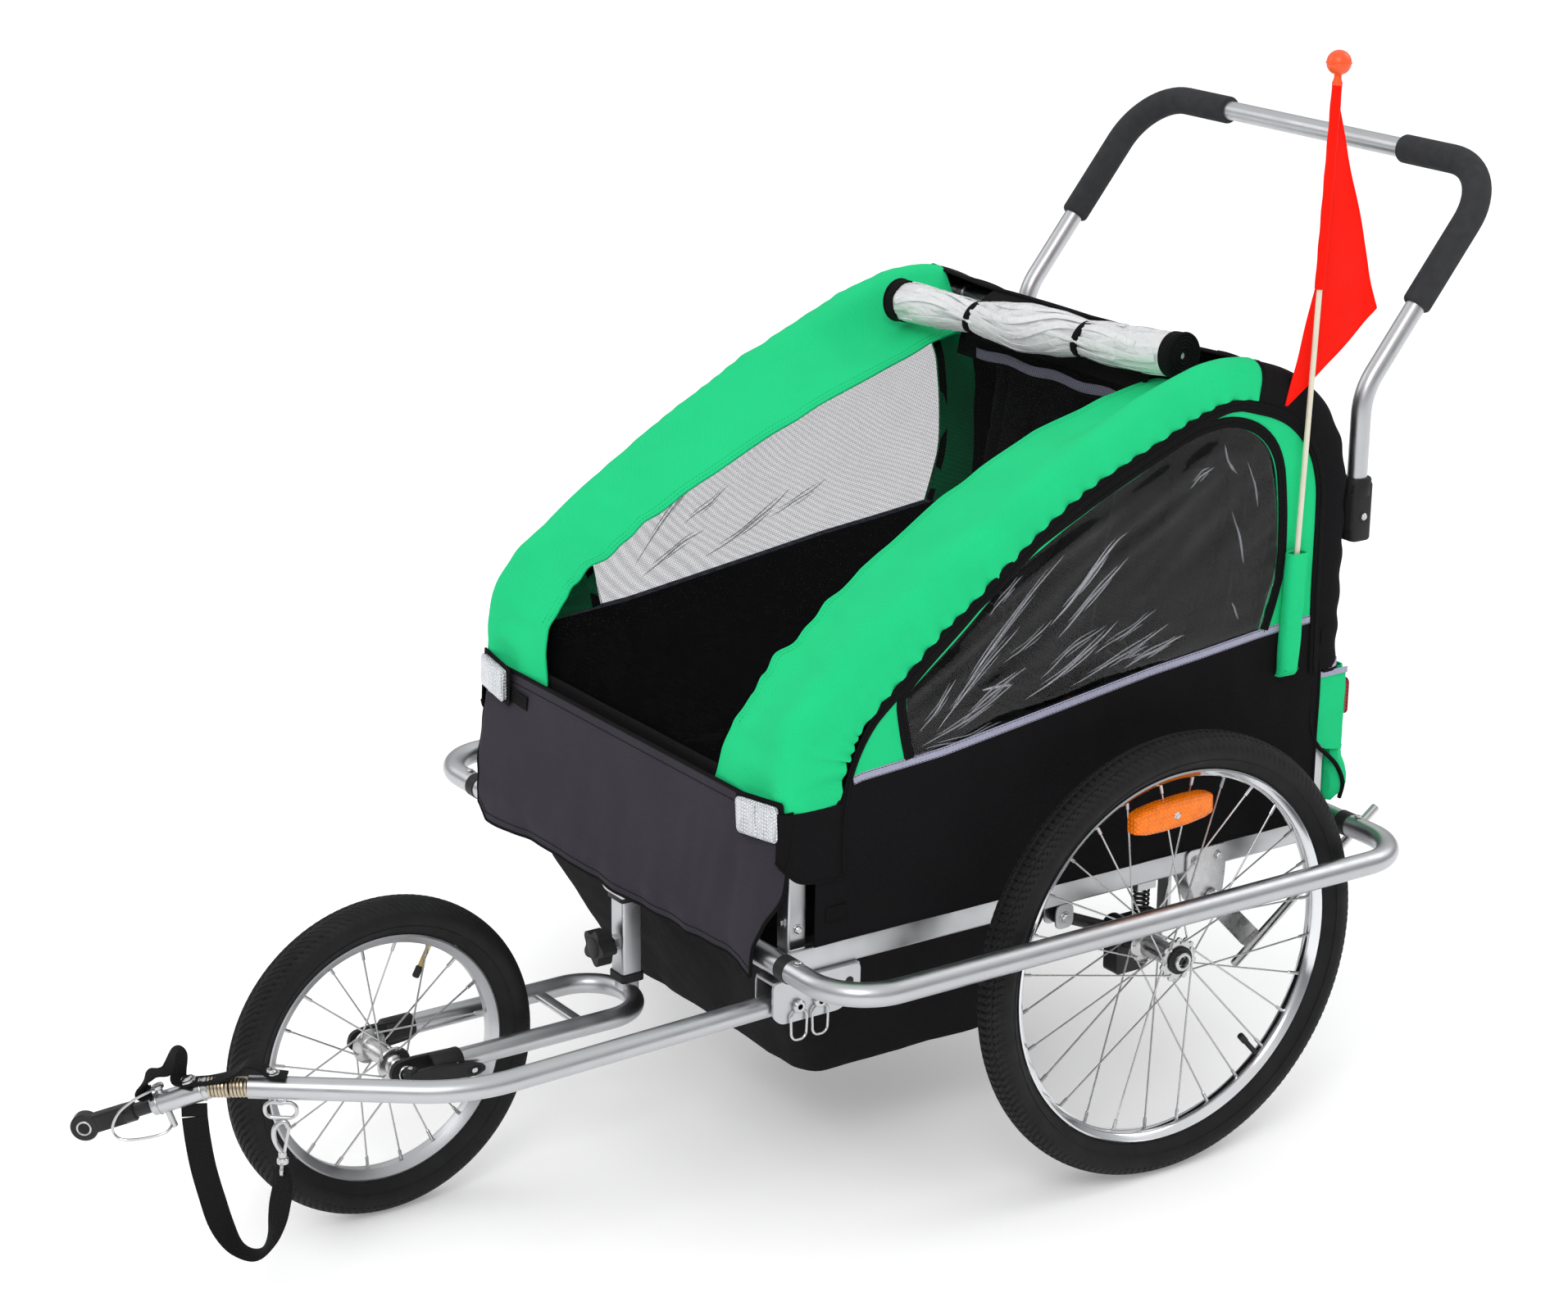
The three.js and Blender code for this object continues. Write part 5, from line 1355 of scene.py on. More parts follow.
# ---------------------------------------------------------------- green arch covers
def band_section(u):
    """Across a cover: (x, depth) from the side hem over the shoulder to the inner hem."""
    inner_x, inner_depth = inner_hem(u)
    top = edge_depth(u)
    dip = smooth(u, 0.42, 0.53)
    middle = (lerp((262 + inner_x) / 2, 226, dip), lerp(inner_depth * 0.45 + 3, 34, dip))
    return [(SIDE_X, top), (302.5, lerp(top, 16, 0.5)), (301.5, 15), (295, 4.5), (283, 0.2), (262, 2.6),
            middle,
            (inner_x, inner_depth)]


def cover_rows(count, u0, u1, columns, section):
    rows = []
    for i in range(count + 1):
        u = lerp(u0, u1, i / count)
        line = through([(x, d, 0) for x, d in section(u)], columns)
        rows.append([under(u, p.x, p.y) for p in line])
    return rows


def make_arch_covers():
    count, columns = 150, 44
    rows = cover_rows(count, 0.0, SEAM_U, columns, band_section)

    def push(i, j, point):
        u, v = i / count * SEAM_U, j / (columns - 1)
        along = u * CREST_LENGTH
        broad = 2.6 * rough(point.x, point.y, point.z, 85) * smooth(v, 0.12, 0.35)
        low = (1 - smooth(u, 0.08, 0.33))
        folds = 6.5 * low * rough(along / 26, v * 2.2, 3.7, 1) * smooth(v, 0.3, 0.6)
        puckers = 2.1 * math.sin(along / 3.9 + 2.4 * rough(along, 0, 0, 60)) * math.exp(-v / 0.07)
        drag = 2.8 * rough(along / 15, v * 2.6, 9.1, 1) * math.exp(-((v - 0.12) / 0.16) ** 2)
        edge = 1.2 * math.sin(along / 13.5 + 3 * rough(along, 5, 0, 90)) * smooth(v, 0.8, 1.0) * (0.5 + low)
        return broad + folds + puckers + drag + edge

    rows = ripple(rows, push)
    for side in ALL_SIDES:
        mirror = side == "right"
        cloth_piece(side + "_cover_cloth", rows, 2.0, GREEN, [side + "_arch_cover"],
                    mirror=mirror)
        inner = [row[-1] for row in rows]
        hem_roll = tube(inner, 1.9, 10)
        piece(side + "_cover_inner_hem", hem_roll.on(side), "frame", GREEN)
        lines = [stitches([row[-1 - k].lerp(row[-2 - k], f)
                + (row[-1 - k] - under(0.5, 0, 0)).normalized() * 0.4 + UP * 1.1
                           for row in rows], 4.4, 2.9, 0.42) for k, f in ((0, 0.8), (2, 0.2))]
        piece(side + "_cover_stitching", total(lines).on(side), "frame", GREEN_SHADED)


def make_posts_and_arches():
    tube_path = [under(lerp(0.002, 0.9, i / 60), 282.5, 21) for i in range(61)]
    posts = sweep([(282.5, -425, 323), (282.5, -425, 486)], rounded(22, 22, 2.5), facing=(1, 0, 0))
    posts += sweep([(282.5, 270, 323), (282.5, 270, 640)], rounded(22, 22, 2.5), facing=(1, 0, 0))
    screws = bolt((293.5, -425, 345), (1, 0, 0), 4.2, 2.6, nut=False) + bolt((282.5, -436, 352), (0, -1, 0),
            4.6, 3.2)
    screws += bolt((293.5, 270, 350), (1, 0, 0), 4.2, 2.6, nut=False)
    cross = under(share_at(205), 0, 21)
    reach = Vector((272, 0, 0))
    tie = bar(cross - reach, cross + reach, 9, 28, 0.8)
    for away in (-1, 1):
        collar = cross + Vector((262 * away, 0, 0))
        tie += bar(collar, collar + Vector((9.5 * away, 0, 0)), 11, 28, 1)
    piece("roof_tube", tie, "frame", ALUMINIUM, ["roof_cross_tube"])
    for side in ALL_SIDES:
        shape = (tube(tube_path, 10, 20) + posts).on(side)
        piece(side + "_arch_and_posts", shape, "frame", ALUMINIUM, [side + "_arch_frame"],
                bevel=0.4)
        piece(side + "_post_screws", screws.on(side), "frame", STEEL)


# ---------------------------------------------------------------- black roof and back
def make_roof():
    half = lambda u: [(SIDE_X, side_depth(u) - 2), (302.5, 30), (301.5, 15), (295, 4.5), (283, 0.2),
            (262, 2.6)]
    section = lambda u: half(u) + [(130, 6), (0, 7.5), (-130, 6)] + [(-x, d) for x, d in reversed(half(u))]
    count, columns = 90, 96
    rows = cover_rows(count, SEAM_U - 0.002, 1.0, columns, section)

    def push(i, j, point):
        edge = min(j, columns - 1 - j) / columns
        along = i / count
        puckers = 1.2 * math.sin((point.z + point.y * 0.5) / 6.5
                + 2 * rough(point.x, point.y, point.z, 70)) * math.exp(-((edge - 0.04) / 0.05) ** 2)
        broad = 3.0 * rough(point.x, point.y, point.z, 120) * smooth(edge, 0.1, 0.25)
        return puckers * smooth(along, 0.1, 0.3) + broad

    rows = ripple(rows, push)
    cloth_piece("roof_and_back", rows, 2.2, BLACK_CLOTH, ["roof_cover"])
    seam = [p + UP * 0.9 for p in rows[1]]
    piece("roof_front_seam", tube(seam, 1.5, 8), "frame", BINDING)
    lip = [[Vector((x, y, z)) for x in np.linspace(-162, 162, 60)] for y, z in through_flat([
        (158, 848), (140, 840), (122, 826), (110, 806), (105, 788), (104, 780)], 22)]
    lip = ripple(lip, lambda i, j, p: 1.5 * rough(p.x, p.y, p.z, 35))
    cloth_piece("roof_front_band", lip, 1.8, BLACK_CLOTH)
    patch = [Vector((x, 101.5, 790 + 1.6 * math.sin(x / 14))) for x in np.linspace(-122, 126, 60)]
    piece("cover_patch", sweep(patch, rounded(1.4, 12, 0.6, 2), facing=(0, 1, 0.1)), "frame",
            REFLECTIVE)
    for side, column in (("left", 17), ("right", columns - 18)):
        line = [row[column] + Vector((0, 0.5, 1.0)) for row in rows[2:]]
        piece(side + "_roof_seam", tube(line, 1.7, 8), "frame", BINDING)
    hem_line = [p + Vector((0, 1.6, 3)) for p in rows[-1][2:-2]]
    section = rounded(2.0, 9, 0.9, 3)
    piece("back_reflective_band", sweep(hem_line, section, facing=(0, 1, 0)), "frame",
            REFLECTIVE)
    piece("back_hem", tube([p + Vector((0, 0.8, -2.4)) for p in rows[-1][2:-2]], 2.4, 10), "frame",
            BINDING)


# ---------------------------------------------------------------- side panels
# The tape's line and the film's edge in the side view. Most points are a program's output.
TAPE = [(-372, 494), (-360, 498), (-255, 505), (-120, 523), (19, 542), (90, 549), (163, 557), (200, 560),
        (244, 562)]
FILM_EDGE = [(-291, 507), (-298, 538), (-301, 572), (-284, 588), (-232, 629), (-161, 686), (-75, 731),
        (-28, 752), (40, 780),
             (75, 791), (111, 793), (141, 784), (164, 766), (177, 741), (183, 708), (186, 673), (186, 629),
             (177, 596), (166, 561)]
PANEL_BOTTOM = 326.5


def tape_z(y):
    return float(np.interp(y, [p[0] for p in TAPE], [p[1] for p in TAPE]))


def on_side(y, z, out=0.0):
    return Vector((SIDE_X + out, y, z))


def make_lower_panel(side):
    count, rows_count = 130, 26
    top, bottom = [], []
    for i in range(count + 1):
        y = lerp(-410, 258, i / count)
        bottom.append(on_side(y, PANEL_BOTTOM))
        top.append(on_side(y, tape_z(y) if y > -372 else lerp(440, 494, smooth(y, -405, -372))))
    rows = ruled(top, bottom, rows_count)

    def push(i, j, point):
        v = i / rows_count
        sag = 1.6 * rough(point.y, point.z, 0, 70) + 1.2 * rough(point.y, point.z * 0.35, 4, 30)
        return sag * smooth(v, 0, 0.15) * (1 - 0.4 * smooth(v, 0.9, 1))

    rows = ripple(rows, push)
    cloth_piece(side + "_lower_panel", rows, 1.8, BLACK_CLOTH, [side + "_side_panel"],
                mirror=side == "right")
    edge = tube([p for p in rows[-1]], 1.7, 8) + tube([row[-1] for row in rows], 2.2, 8)
    piece(side + "_panel_hem", edge.on(side), "frame", BINDING)


def side_ring():
    """The green surround of the window, between the covers' piping and the film."""
    count = 120
    inner = through([(y, z) for y, z in FILM_EDGE], count)
    front = [(-371, 497), (-366, 515), (-352, 545), (-334, 567)]
    line = [under(u, 0, edge_depth(u) + 3) for u in np.linspace(share_at(-300), share_at(120), 40)]
    line += [under(u, 0, side_depth(u)) for u in np.linspace(share_at(170), 0.8, 20)]
    outline = front + [(p.y, p.z) for p in line if p.y > -322 and (p.z > 566)] + [(243, 561)]
    outer = through(outline, count)
    rows = [[on_side(p.x, p.y, 0.6 - 0.8 * t) for p in line] for t, line in
            [(k / 5, [a.lerp(b, k / 5) for a, b in zip(outer, inner)]) for k in range(6)]]
    rows = ripple(rows, lambda i, j, p: 0.8 * rough(p.y, p.z, 2, 40))
    return rows


def make_side_panels():
    for side in ALL_SIDES:
        mirror = side == "right"
        make_lower_panel(side)
        cloth_piece(side + "_window_surround", side_ring(), 1.4, GREEN, mirror=mirror)
        tape = [on_side(y, tape_z(y), 1.3) for y in np.linspace(-366, 244, 60)]
        piece(side + "_reflective_tape", sweep(tape, rounded(1.6, 9.5, 0.7, 3), facing=(1, 0, 0)).on(side),
                "frame", REFLECTIVE)
        seam = total(stitches([p + Vector((0.8, 0, dz)) for p in tape], 4.2, 2.8, 0.4)
                for dz in (-3.6, 3.6))
        piece(side + "_tape_stitching", seam.on(side), "frame", BLACK_CLOTH)
        make_window(side)
        make_creases(side)
        make_bindings(side)


def make_window(side):
    count, steps = 110, 34
    boundary = through(FILM_EDGE, count)
    reach, bottom = -291.0, []
    for p in boundary:
        reach = max(reach, lerp(-291, 166, min(max((p.x + 291) / (186 + 291), 0), 1)))
        bottom.append((reach, tape_z(reach) + 1))
    rows = ruled([on_side(p.x, p.y, -1) for p in boundary], [on_side(y, z, -1) for y, z in bottom], steps)

    def push(i, j, point):
        v = i / steps
        y, z = point.y, point.z
        along, across = 0.86 * y + 0.5 * z, -0.5 * y + 0.86 * z
        diagonal = rough(along / 120, across / 15, 0, 1)
        flat_y, flat_z = y / 95, (z - tape_z(y)) / 13
        level = rough(flat_y, flat_z, 6.3, 1)
        near = smooth(v, 0.0, 0.12) * (1 - smooth(v, 0.94, 1))
        lower = smooth(v, 0.45, 0.85)
        return near * (2.6 * diagonal * (1 - lower) + 2.4 * level * lower
                + 2 * rough(y, z, 8, 90)) - 2.5 * near

    rows = ripple(rows, push)
    cloth_piece(side + "_window_film", rows, 0.5, WINDOW_FILM, mirror=side == "right")


# Creases of the side film as lines in the side view: (y, z) points, then width. Their brightness is a painted
# highlight.
CREASE_HIGHLIGHTS = [
    ([(-246, 545), (-200, 600), (-150, 650), (-105, 690)], 5), ([(-262, 528), (-215, 575), (-160, 622)], 4),
    ([(-120, 615), (-80, 650), (-40, 690), (-22, 700)], 8), ([(-110, 600), (-62, 640), (-20, 672)], 6),
    ([(-235, 530), (-185, 560), (-150, 575)], 5), ([(-282, 516), (-240, 527), (-190, 548), (-165, 562)], 5),
    ([(-276, 512), (-225, 513), (-180, 524)], 4), ([(-285, 530), (-262, 552), (-240, 580)], 4),
    ([(-150, 540), (-100, 562), (-60, 585), (-30, 606)], 6), ([(-130, 560), (-90, 586), (-45, 603)], 4),
    ([(-90, 545), (-40, 560), (10, 578), (40, 590)], 5), ([(-20, 552), (30, 566), (62, 574)], 7),
    ([(-60, 575), (-10, 594), (22, 610)], 4), ([(105, 775), (112, 755), (124, 742)], 6),
    ([(138, 752), (150, 726), (156, 700)], 4),
    ([(120, 700), (132, 672), (140, 640)], 6), ([(60, 735), (78, 748), (92, 752)], 5),
    ([(126, 600), (132, 588), (136, 578)], 6),
    ([(-200, 640), (-175, 662), (-158, 676)], 4), ([(-30, 560), (-5, 566), (12, 572)], 5),
    ([(-180, 585), (-140, 606), (-118, 622)], 3.5),
]


def make_creases(side):
    """Sharp folds stand out of the film as bundles of thin ridges, in a whiter, less clear film: painted
    highlight streaks.
    """
    shape = Shape()
    lines = CREASE_HIGHLIGHTS if side == "left" else CREASE_HIGHLIGHTS[::4]
    for number, (line, width) in enumerate(lines):
        for strand, (shift, part) in enumerate(((0, 1), (3.4, 0.6), (-3.0, 0.5))):
            first, last = int(9 * strand * 0.5), 25 - int(5 * strand * 0.6)
            points = through(line, 26)[first:last + 1]
            path = [on_side(p.x - 0.5 * shift, p.y + shift + 0.7 * math.sin(k / 2.3 + number), -0.2) for k,
                    p in enumerate(points)]
            ends = len(path) - 1
            grow = [0.08 + 0.92 * math.sin(math.pi * k / ends) ** 0.6 for k in range(ends + 1)]
            shape += sweep(path, rounded(1.5, 0.34 * width * part, 0.4, 2), facing=(1, 0, 0), grow=grow)
    piece(side + "_film_creases", shape.on(side), "frame", CREASE_HIGHLIGHT_FILM)


def make_bindings(side):
    centre = [(-297, 506), (-304, 538), (-308, 572), (-290, 593), (-237, 636), (-166, 693), (-79, 737),
            (-31, 758), (38, 786),
              (75, 797), (112, 799), (145, 789), (169, 770), (183, 744), (189, 709), (192, 673), (192, 628),
              (184, 594), (173, 561)]
    line = [on_side(p.x, p.y, 0.8) for p in through(centre, 90)]
    band = sweep(line, rounded(3.4, 12, 1.5, 3), facing=(1, 0, 0))
    piece(side + "_window_binding", band.on(side), "frame", BINDING)
    threads = stitches([on_side(p.x, p.y, 2.7) for p in through(centre, 90)], 4.4, 2.9, 0.42)
    piece(side + "_window_stitching", threads.on(side), "frame", BLACK_CLOTH)
    half = BINDING_WIDTH / 2
    low = [(-378, 400), (-379, 440), (-377, 466), (-372, 494), (-362, 521), (-347, 547), (-327, 568)]
    top = [under(u, 0, edge_depth(u) + half) for u in np.linspace(share_at(-300), share_at(128), 40)]
    back = [under(u, 0, side_depth(u) + half - 4) for u in np.linspace(share_at(166), 0.93, 24)]
    points = low + [(p.y, p.z) for p in top] + [(p.y, p.z) for p in back if p.z > 506] + [(247, 500)]
    path = [on_side(p.x, p.y, 1.5) for p in through(points, 150)]
    grow = [lerp(0.6, 1.0, smooth(i / 150, 0.1, 0.2)) for i in range(150)]
    piping = sweep(path, rounded(4.0, BINDING_WIDTH, 1.8, 3), facing=(1, 0, 0), grow=grow)
    ridge = tube([p + Vector((1.8, 0, 0)) for p in path], 1.5, 8)
    piece(side + "_cover_piping", (piping + ridge).on(side), "frame", BINDING)


# ---------------------------------------------------------------- front skirt and corner flaps
def skirt_y(z):
    return float(np.interp(z, [296, 330, 345, 390, 440, 474], [-467, -467, -463, -455, -449, -446.5]))


def make_skirt():
    columns, steps = 120, 60
    top_half, rows = 302.0, []
    bottom_points_x = [-270, -253, -200, -108, 5, 109, 193, 252, 270]
    bottom_points_z = [312, 296, 300, 305, 302, 304, 308, 303, 298]
    for i in range(steps + 1):
        v = i / steps
        row = []
        for j in range(columns + 1):
            s = j / columns * 2 - 1
            half_low = 272
            bottom = float(np.interp(s * half_low, bottom_points_x, bottom_points_z))
            z = lerp(474, bottom, v)
            half = lerp(half_low + 4, top_half, smooth(z, 318, 402))
            x = s * half
            corner = smooth(abs(x), 286, 302)
            row.append(Vector((x, skirt_y(z) + 9 * corner, z)))
        rows.append(row)

    def push(i, j, point):
        v = i / steps
        x = point.x
        hang = smooth(v, 0.05, 0.5)
        folds = 3.4 * rough(x / 24 + 0.35 * v, v * 0.7, 1.5, 1) * smooth(x, 60, 190) + 2.2 * rough(x / 34,
                v * 0.9, 8.2, 1)
        low = 2.6 * math.sin(x / 21 + 2.2 * rough(x, 0, 0, 80)) * smooth(v, 0.8, 1.0)
        crumple = 1.5 * rough(x, point.z, 3, 28) * smooth(v, 0.6, 0.95)
        return (folds * hang + low + crumple) * -1 - 1.5 * hang

    rows = ripple(rows, push)
    cloth_piece("skirt_cloth", rows, 1.8, SKIRT_CLOTH, ["front_skirt"])
    top_edge = [p for p in rows[0]]
    piece("skirt_top_hem", tube(top_edge, 2.3, 10), "frame", BINDING)
    lines = total(stitches([rows[k][j] + Vector((0, -1.3, 0)) for j in range(columns + 1)], 4.4, 2.9, 0.42)
            for k in (4, 57))
    piece("skirt_stitching", lines, "frame", BLACK_CLOTH)
    edges = tube([p + Vector((0, -0.4, 0)) for p in rows[-1]], 1.9, 8)
    edges += tube([row[0] for row in rows], 2.0, 8) + tube([row[-1] for row in rows], 2.0, 8)
    piece("skirt_side_hems", edges, "frame", BINDING)
    for side in ALL_SIDES:
        outline_top = [Vector((293, -450, 474)), Vector((301, -444, 474)), on_side(-425, 474, 0.6),
                on_side(-378, 474, 0.6)]
        outline_low = [Vector((293, -452, 424)), Vector((301, -444, 412)), on_side(-425, 399, 0.6),
                on_side(-378, 394, 0.6)]
        flap = ruled(through(outline_top, 26), through(outline_low, 26), 16)
        flap = ripple(flap, lambda i, j, p: 1.2 * rough(p.x, p.y, p.z, 26) - 0.6)
        cloth_piece(side + "_corner_flap", flap, 1.8, BLACK_CLOTH, mirror=side == "right")
        piece(side + "_flap_hem", tube(flap[-1], 2.1, 8).on(side), "frame", BINDING)
        tab = block((303, -398, 350), (304.2, -372, 366))
        piece(side + "_hook_tab", tab.on(side), "frame", BINDING, bevel=0.5)
    velcro = sweep([(-232, skirt_y(448) - 2.6, 449), (-196, skirt_y(446) - 2.6, 447)],
            rounded(1.6, 17, 0.7, 3), facing=(0, 1, 0))
    piece("skirt_hook_patch", velcro, "frame", BINDING)


def rounded_pad(low, high, corner, depth):
    """A flat rectangle in X and Z with round corners, crowned towards -Y."""
    (x0, z0), (x1, z1) = low, high
    outline = [(x + (x0 + x1) / 2, z + (z0 + z1) / 2) for x, z in rounded(x1 - x0, z1 - z0, corner, 5)]
    centre = Vector(((x0 + x1) / 2, 0, (z0 + z1) / 2))
    rings = []
    for shrink, y in ((1, 0), (1, -depth * 0.55), (0.95, -depth * 0.9), (0.86, -depth)):
        rings.append([Vector((lerp(centre.x, x, shrink), y, lerp(centre.z, z, shrink))) for x,
                z in outline])
    size = len(outline)
    points = [p for r in rings for p in r]
    faces = [(a * size + k, a * size + (k + 1) % size, (a + 1) * size + (k + 1) % size, (a + 1) * size + k)
             for a in range(len(rings) - 1) for k in range(size)]
    faces += [tuple(range(size)), tuple(range(3 * size, 4 * size))[::-1]]
    return Shape(points, faces)


def make_front_reflectors():
    for side in ALL_SIDES:
        tilt = Matrix.Rotation(math.radians(7), 4, "Z") @ Matrix.Rotation(math.radians(-4), 4, "Y")
        centre = Vector((263, -452, 460))
        place = Matrix.Translation(centre) @ tilt
        body = rounded_pad((-30, -18), (30, 18), 5, 7).turned(place)
        piece(side + "_reflector_lens", body.on(side), "frame", CLEAR_PRISM,
                [side + "_front_reflector"])
        frame_line = [place @ Vector((x, -3.8, z)) for x, z in rounded(60, 36, 5, 5)]
        bar_mid = sweep([place @ Vector((-3, -6.6, z)) for z in (-16, 16)], rounded(10, 2.4, 0.8),
                facing=(1, 0, 0))
        trim = tube(frame_line, 1.3, 8, True) + bar_mid
        piece(side + "_reflector_trim", trim.on(side), "frame", CLEAR_PRISM)
        patch = rounded_pad((-36, -23), (36, 23), 4, 1.6).moved((0, 2, 0)).turned(place)
        piece(side + "_reflector_patch", patch.on(side), "frame", BINDING)


# ---------------------------------------------------------------- insect screen
def make_screen():
    count, columns = 90, 60
    rows = []
    for i in range(count + 1):
        u = lerp(0.0, share_at(98), i / count)
        half, depth = inner_hem(u)
        half, depth = half + 9, depth + 7
        row = []
        for j in range(columns + 1):
            x = (j / columns * 2 - 1) * half
            sag = 5 * (1 - (x / half) ** 2) * math.sin(math.pi * i / count)
            row.append(under(u, x, depth + sag))
        rows.append(row[::-1])
    rows = ripple(rows, lambda i, j, p: 1.6 * rough(p.x, p.y, p.z, 75))
    cloth_piece("insect_screen", rows, 0.6, SCREEN)
    facing = Vector((0, 0, 1))
    band = [rows[0][j] + Vector((0, -1, -3)) for j in range(columns + 1)]
    piece("screen_lower_band", sweep(band, rounded(30, 1.8, 0.8, 3), facing=facing), "frame",
            BLACK_CLOTH)


# ---------------------------------------------------------------- rolled clear cover
ROLL_ENDS = Vector((-211, 57.5, 838)), Vector((228, 104.6, 856))
ROLL_AXIS = (ROLL_ENDS[1] - ROLL_ENDS[0]).normalized()
ROLL_SIDE = ROLL_AXIS.cross(UP).normalized()
ROLL_TOP = ROLL_SIDE.cross(ROLL_AXIS)
ROLL_TIES = (0.29, 0.68)


def roll_point(t, angle=0.0, radius=0.0):
    """A point of the roll: t runs from end to end."""
    axis = ROLL_ENDS[0].lerp(ROLL_ENDS[1], t) - UP * 3 * math.sin(math.pi * t)
    return axis + (ROLL_SIDE * math.cos(angle) + ROLL_TOP * math.sin(angle)) * radius


def roll_radius(t):
    """The roll swells between its two ties."""
    return float(np.interp(t, [0, 0.12, 0.24, 0.29, 0.34, 0.47, 0.6, 0.68, 0.76, 0.88, 1],
            [22.5, 22, 18, 16, 20, 26.5, 24, 18, 22.5, 24, 23]))


def make_roll():
    lines, around = 150, 96
    points = []
    for i in range(lines + 1):
        t = i / lines
        near = min(abs(t - tie) for tie in ROLL_TIES)
        loose = smooth(min(t, 1 - t), 0, 0.05)
        for k in range(around):
            a = 2 * math.pi * k / around
            turn = Vector((2.2 * math.cos(a), 2.2 * math.sin(a), 0))
            crease = 3.0 * noise.noise(turn
                    + Vector((0, 0, t * 9))) - 2.4 * abs(noise.noise(turn * 1.3 + Vector((4, 0, t * 15))))
            gathers = 2.4 * math.sin(8 * a + 30 * t) * math.exp(-((near / 0.06) ** 2))
            reach = roll_radius(t) + (crease + gathers) * loose
            points.append(roll_point(t, a, reach))
    faces = [(i * around + k, i * around + (k + 1) % around, (i + 1) * around + (k + 1) % around,
            (i + 1) * around + k)
             for i in range(lines) for k in range(around)]
    faces += [tuple(range(around))[::-1], tuple(range(lines * around, (lines + 1) * around))]
    made = piece("cover_roll_film", Shape(points, faces), "frame", ROLL_FILM, ["cover_roll"])
    flutes = Shape()
    for k in range(11):
        start = 2 * math.pi * k / 11
        span = np.linspace(0.04 + 0.05 * (k % 3), 0.96 - 0.07 * (k % 4), 44)
        angles = [start + 1.3 * rough(t * 400, k * 40, 0, 130) for t in span]
        path = [roll_point(t, a, roll_radius(t) + 0.3 + 1.6 * rough(t * 400, k * 9, 1, 40)) for t,
                a in zip(span, angles)]
        outward = [ROLL_SIDE * -math.sin(a) + ROLL_TOP * math.cos(a) for a in angles]
        flutes += sweep(path, rounded(8, 1.4, 0.6, 2), facing=outward)
    piece("cover_roll_creases", flutes, "frame", ROLL_FILM)
    for name, t, away in (("right", 0.0, -1), ("left", 1.0, 1)):
        turns = Shape()
        for k in range(6):
            radius = roll_radius(t) * (1.03 - 0.16 * k)
            turns += tube([roll_point(t, a, radius) + ROLL_AXIS * away * (1.5 - 0.5 * (k % 2))
                    for a in circle_angles(48)], 1.9, 8, True)
        sleeve = [roll_point(t + away * d, 0, 0) for d in (-0.028, -0.014, -0.002)]
        band = sweep(sleeve, ring(roll_radius(t) + 1.6, 48), facing=ROLL_SIDE)
        piece(name + "_roll_binding", turns + band, "frame", BINDING)
    for name, t in zip(("right", "left"), ROLL_TIES):
        loop = [roll_point(t + 0.012 * math.sin(a), a, roll_radius(t) + 1.5) for a in circle_angles(40)]
        band = sweep(loop, rounded(10, 2.2, 0.9, 2), closed=True, facing=ROLL_AXIS)
        knot = roll_point(t - 0.01, math.radians(-125), roll_radius(t) + 3)
        tie = bar(knot - Vector((0, 0, 6)), knot + Vector((2, -3, 5)), 6.5, 18, 2)
        tail = sweep(smooth_path([knot, knot + Vector((-8, -6, -5)), knot + Vector((-18, -8, -9))], 4),
                rounded(9, 1.6, 0.7, 2), facing=(1, 0, 0))
        piece(name + "_roll_tie", band + tie + tail, "frame", BINDING)


# ---------------------------------------------------------------- floor, footwell, bag
def pouch(rings, thickness):
    """A cloth bag: open at the first ring, closed at the last. Rings hold the same number of points."""
    size, count = len(rings[0]), len(rings)
    outer = [p for r in rings for p in r]
    inner = []
    for i, r in enumerate(rings):
        for k, p in enumerate(r):
            across = r[(k + 1) % size] - r[k - 1]
            down = rings[min(i + 1, count - 1)][k] - rings[max(i - 1, 0)][k]
            inner.append(p - across.cross(down).normalized() * thickness)
    faces = []
    shift = len(outer)
    for i in range(count - 1):
        for k in range(size):
            n = (k + 1) % size
            a, b, c, d = i * size + k, i * size + n, (i + 1) * size + n, (i + 1) * size + k
            faces += [(a, b, c, d), (a + shift, d + shift, c + shift, b + shift)]
    faces += [(k, k + shift, (k + 1) % size + shift, (k + 1) % size) for k in range(size)]
    last = (count - 1) * size
    faces += [tuple(range(last, last + size)), tuple(range(last + shift, last + shift + size))[::-1]]
    return Shape(outer + inner, faces)


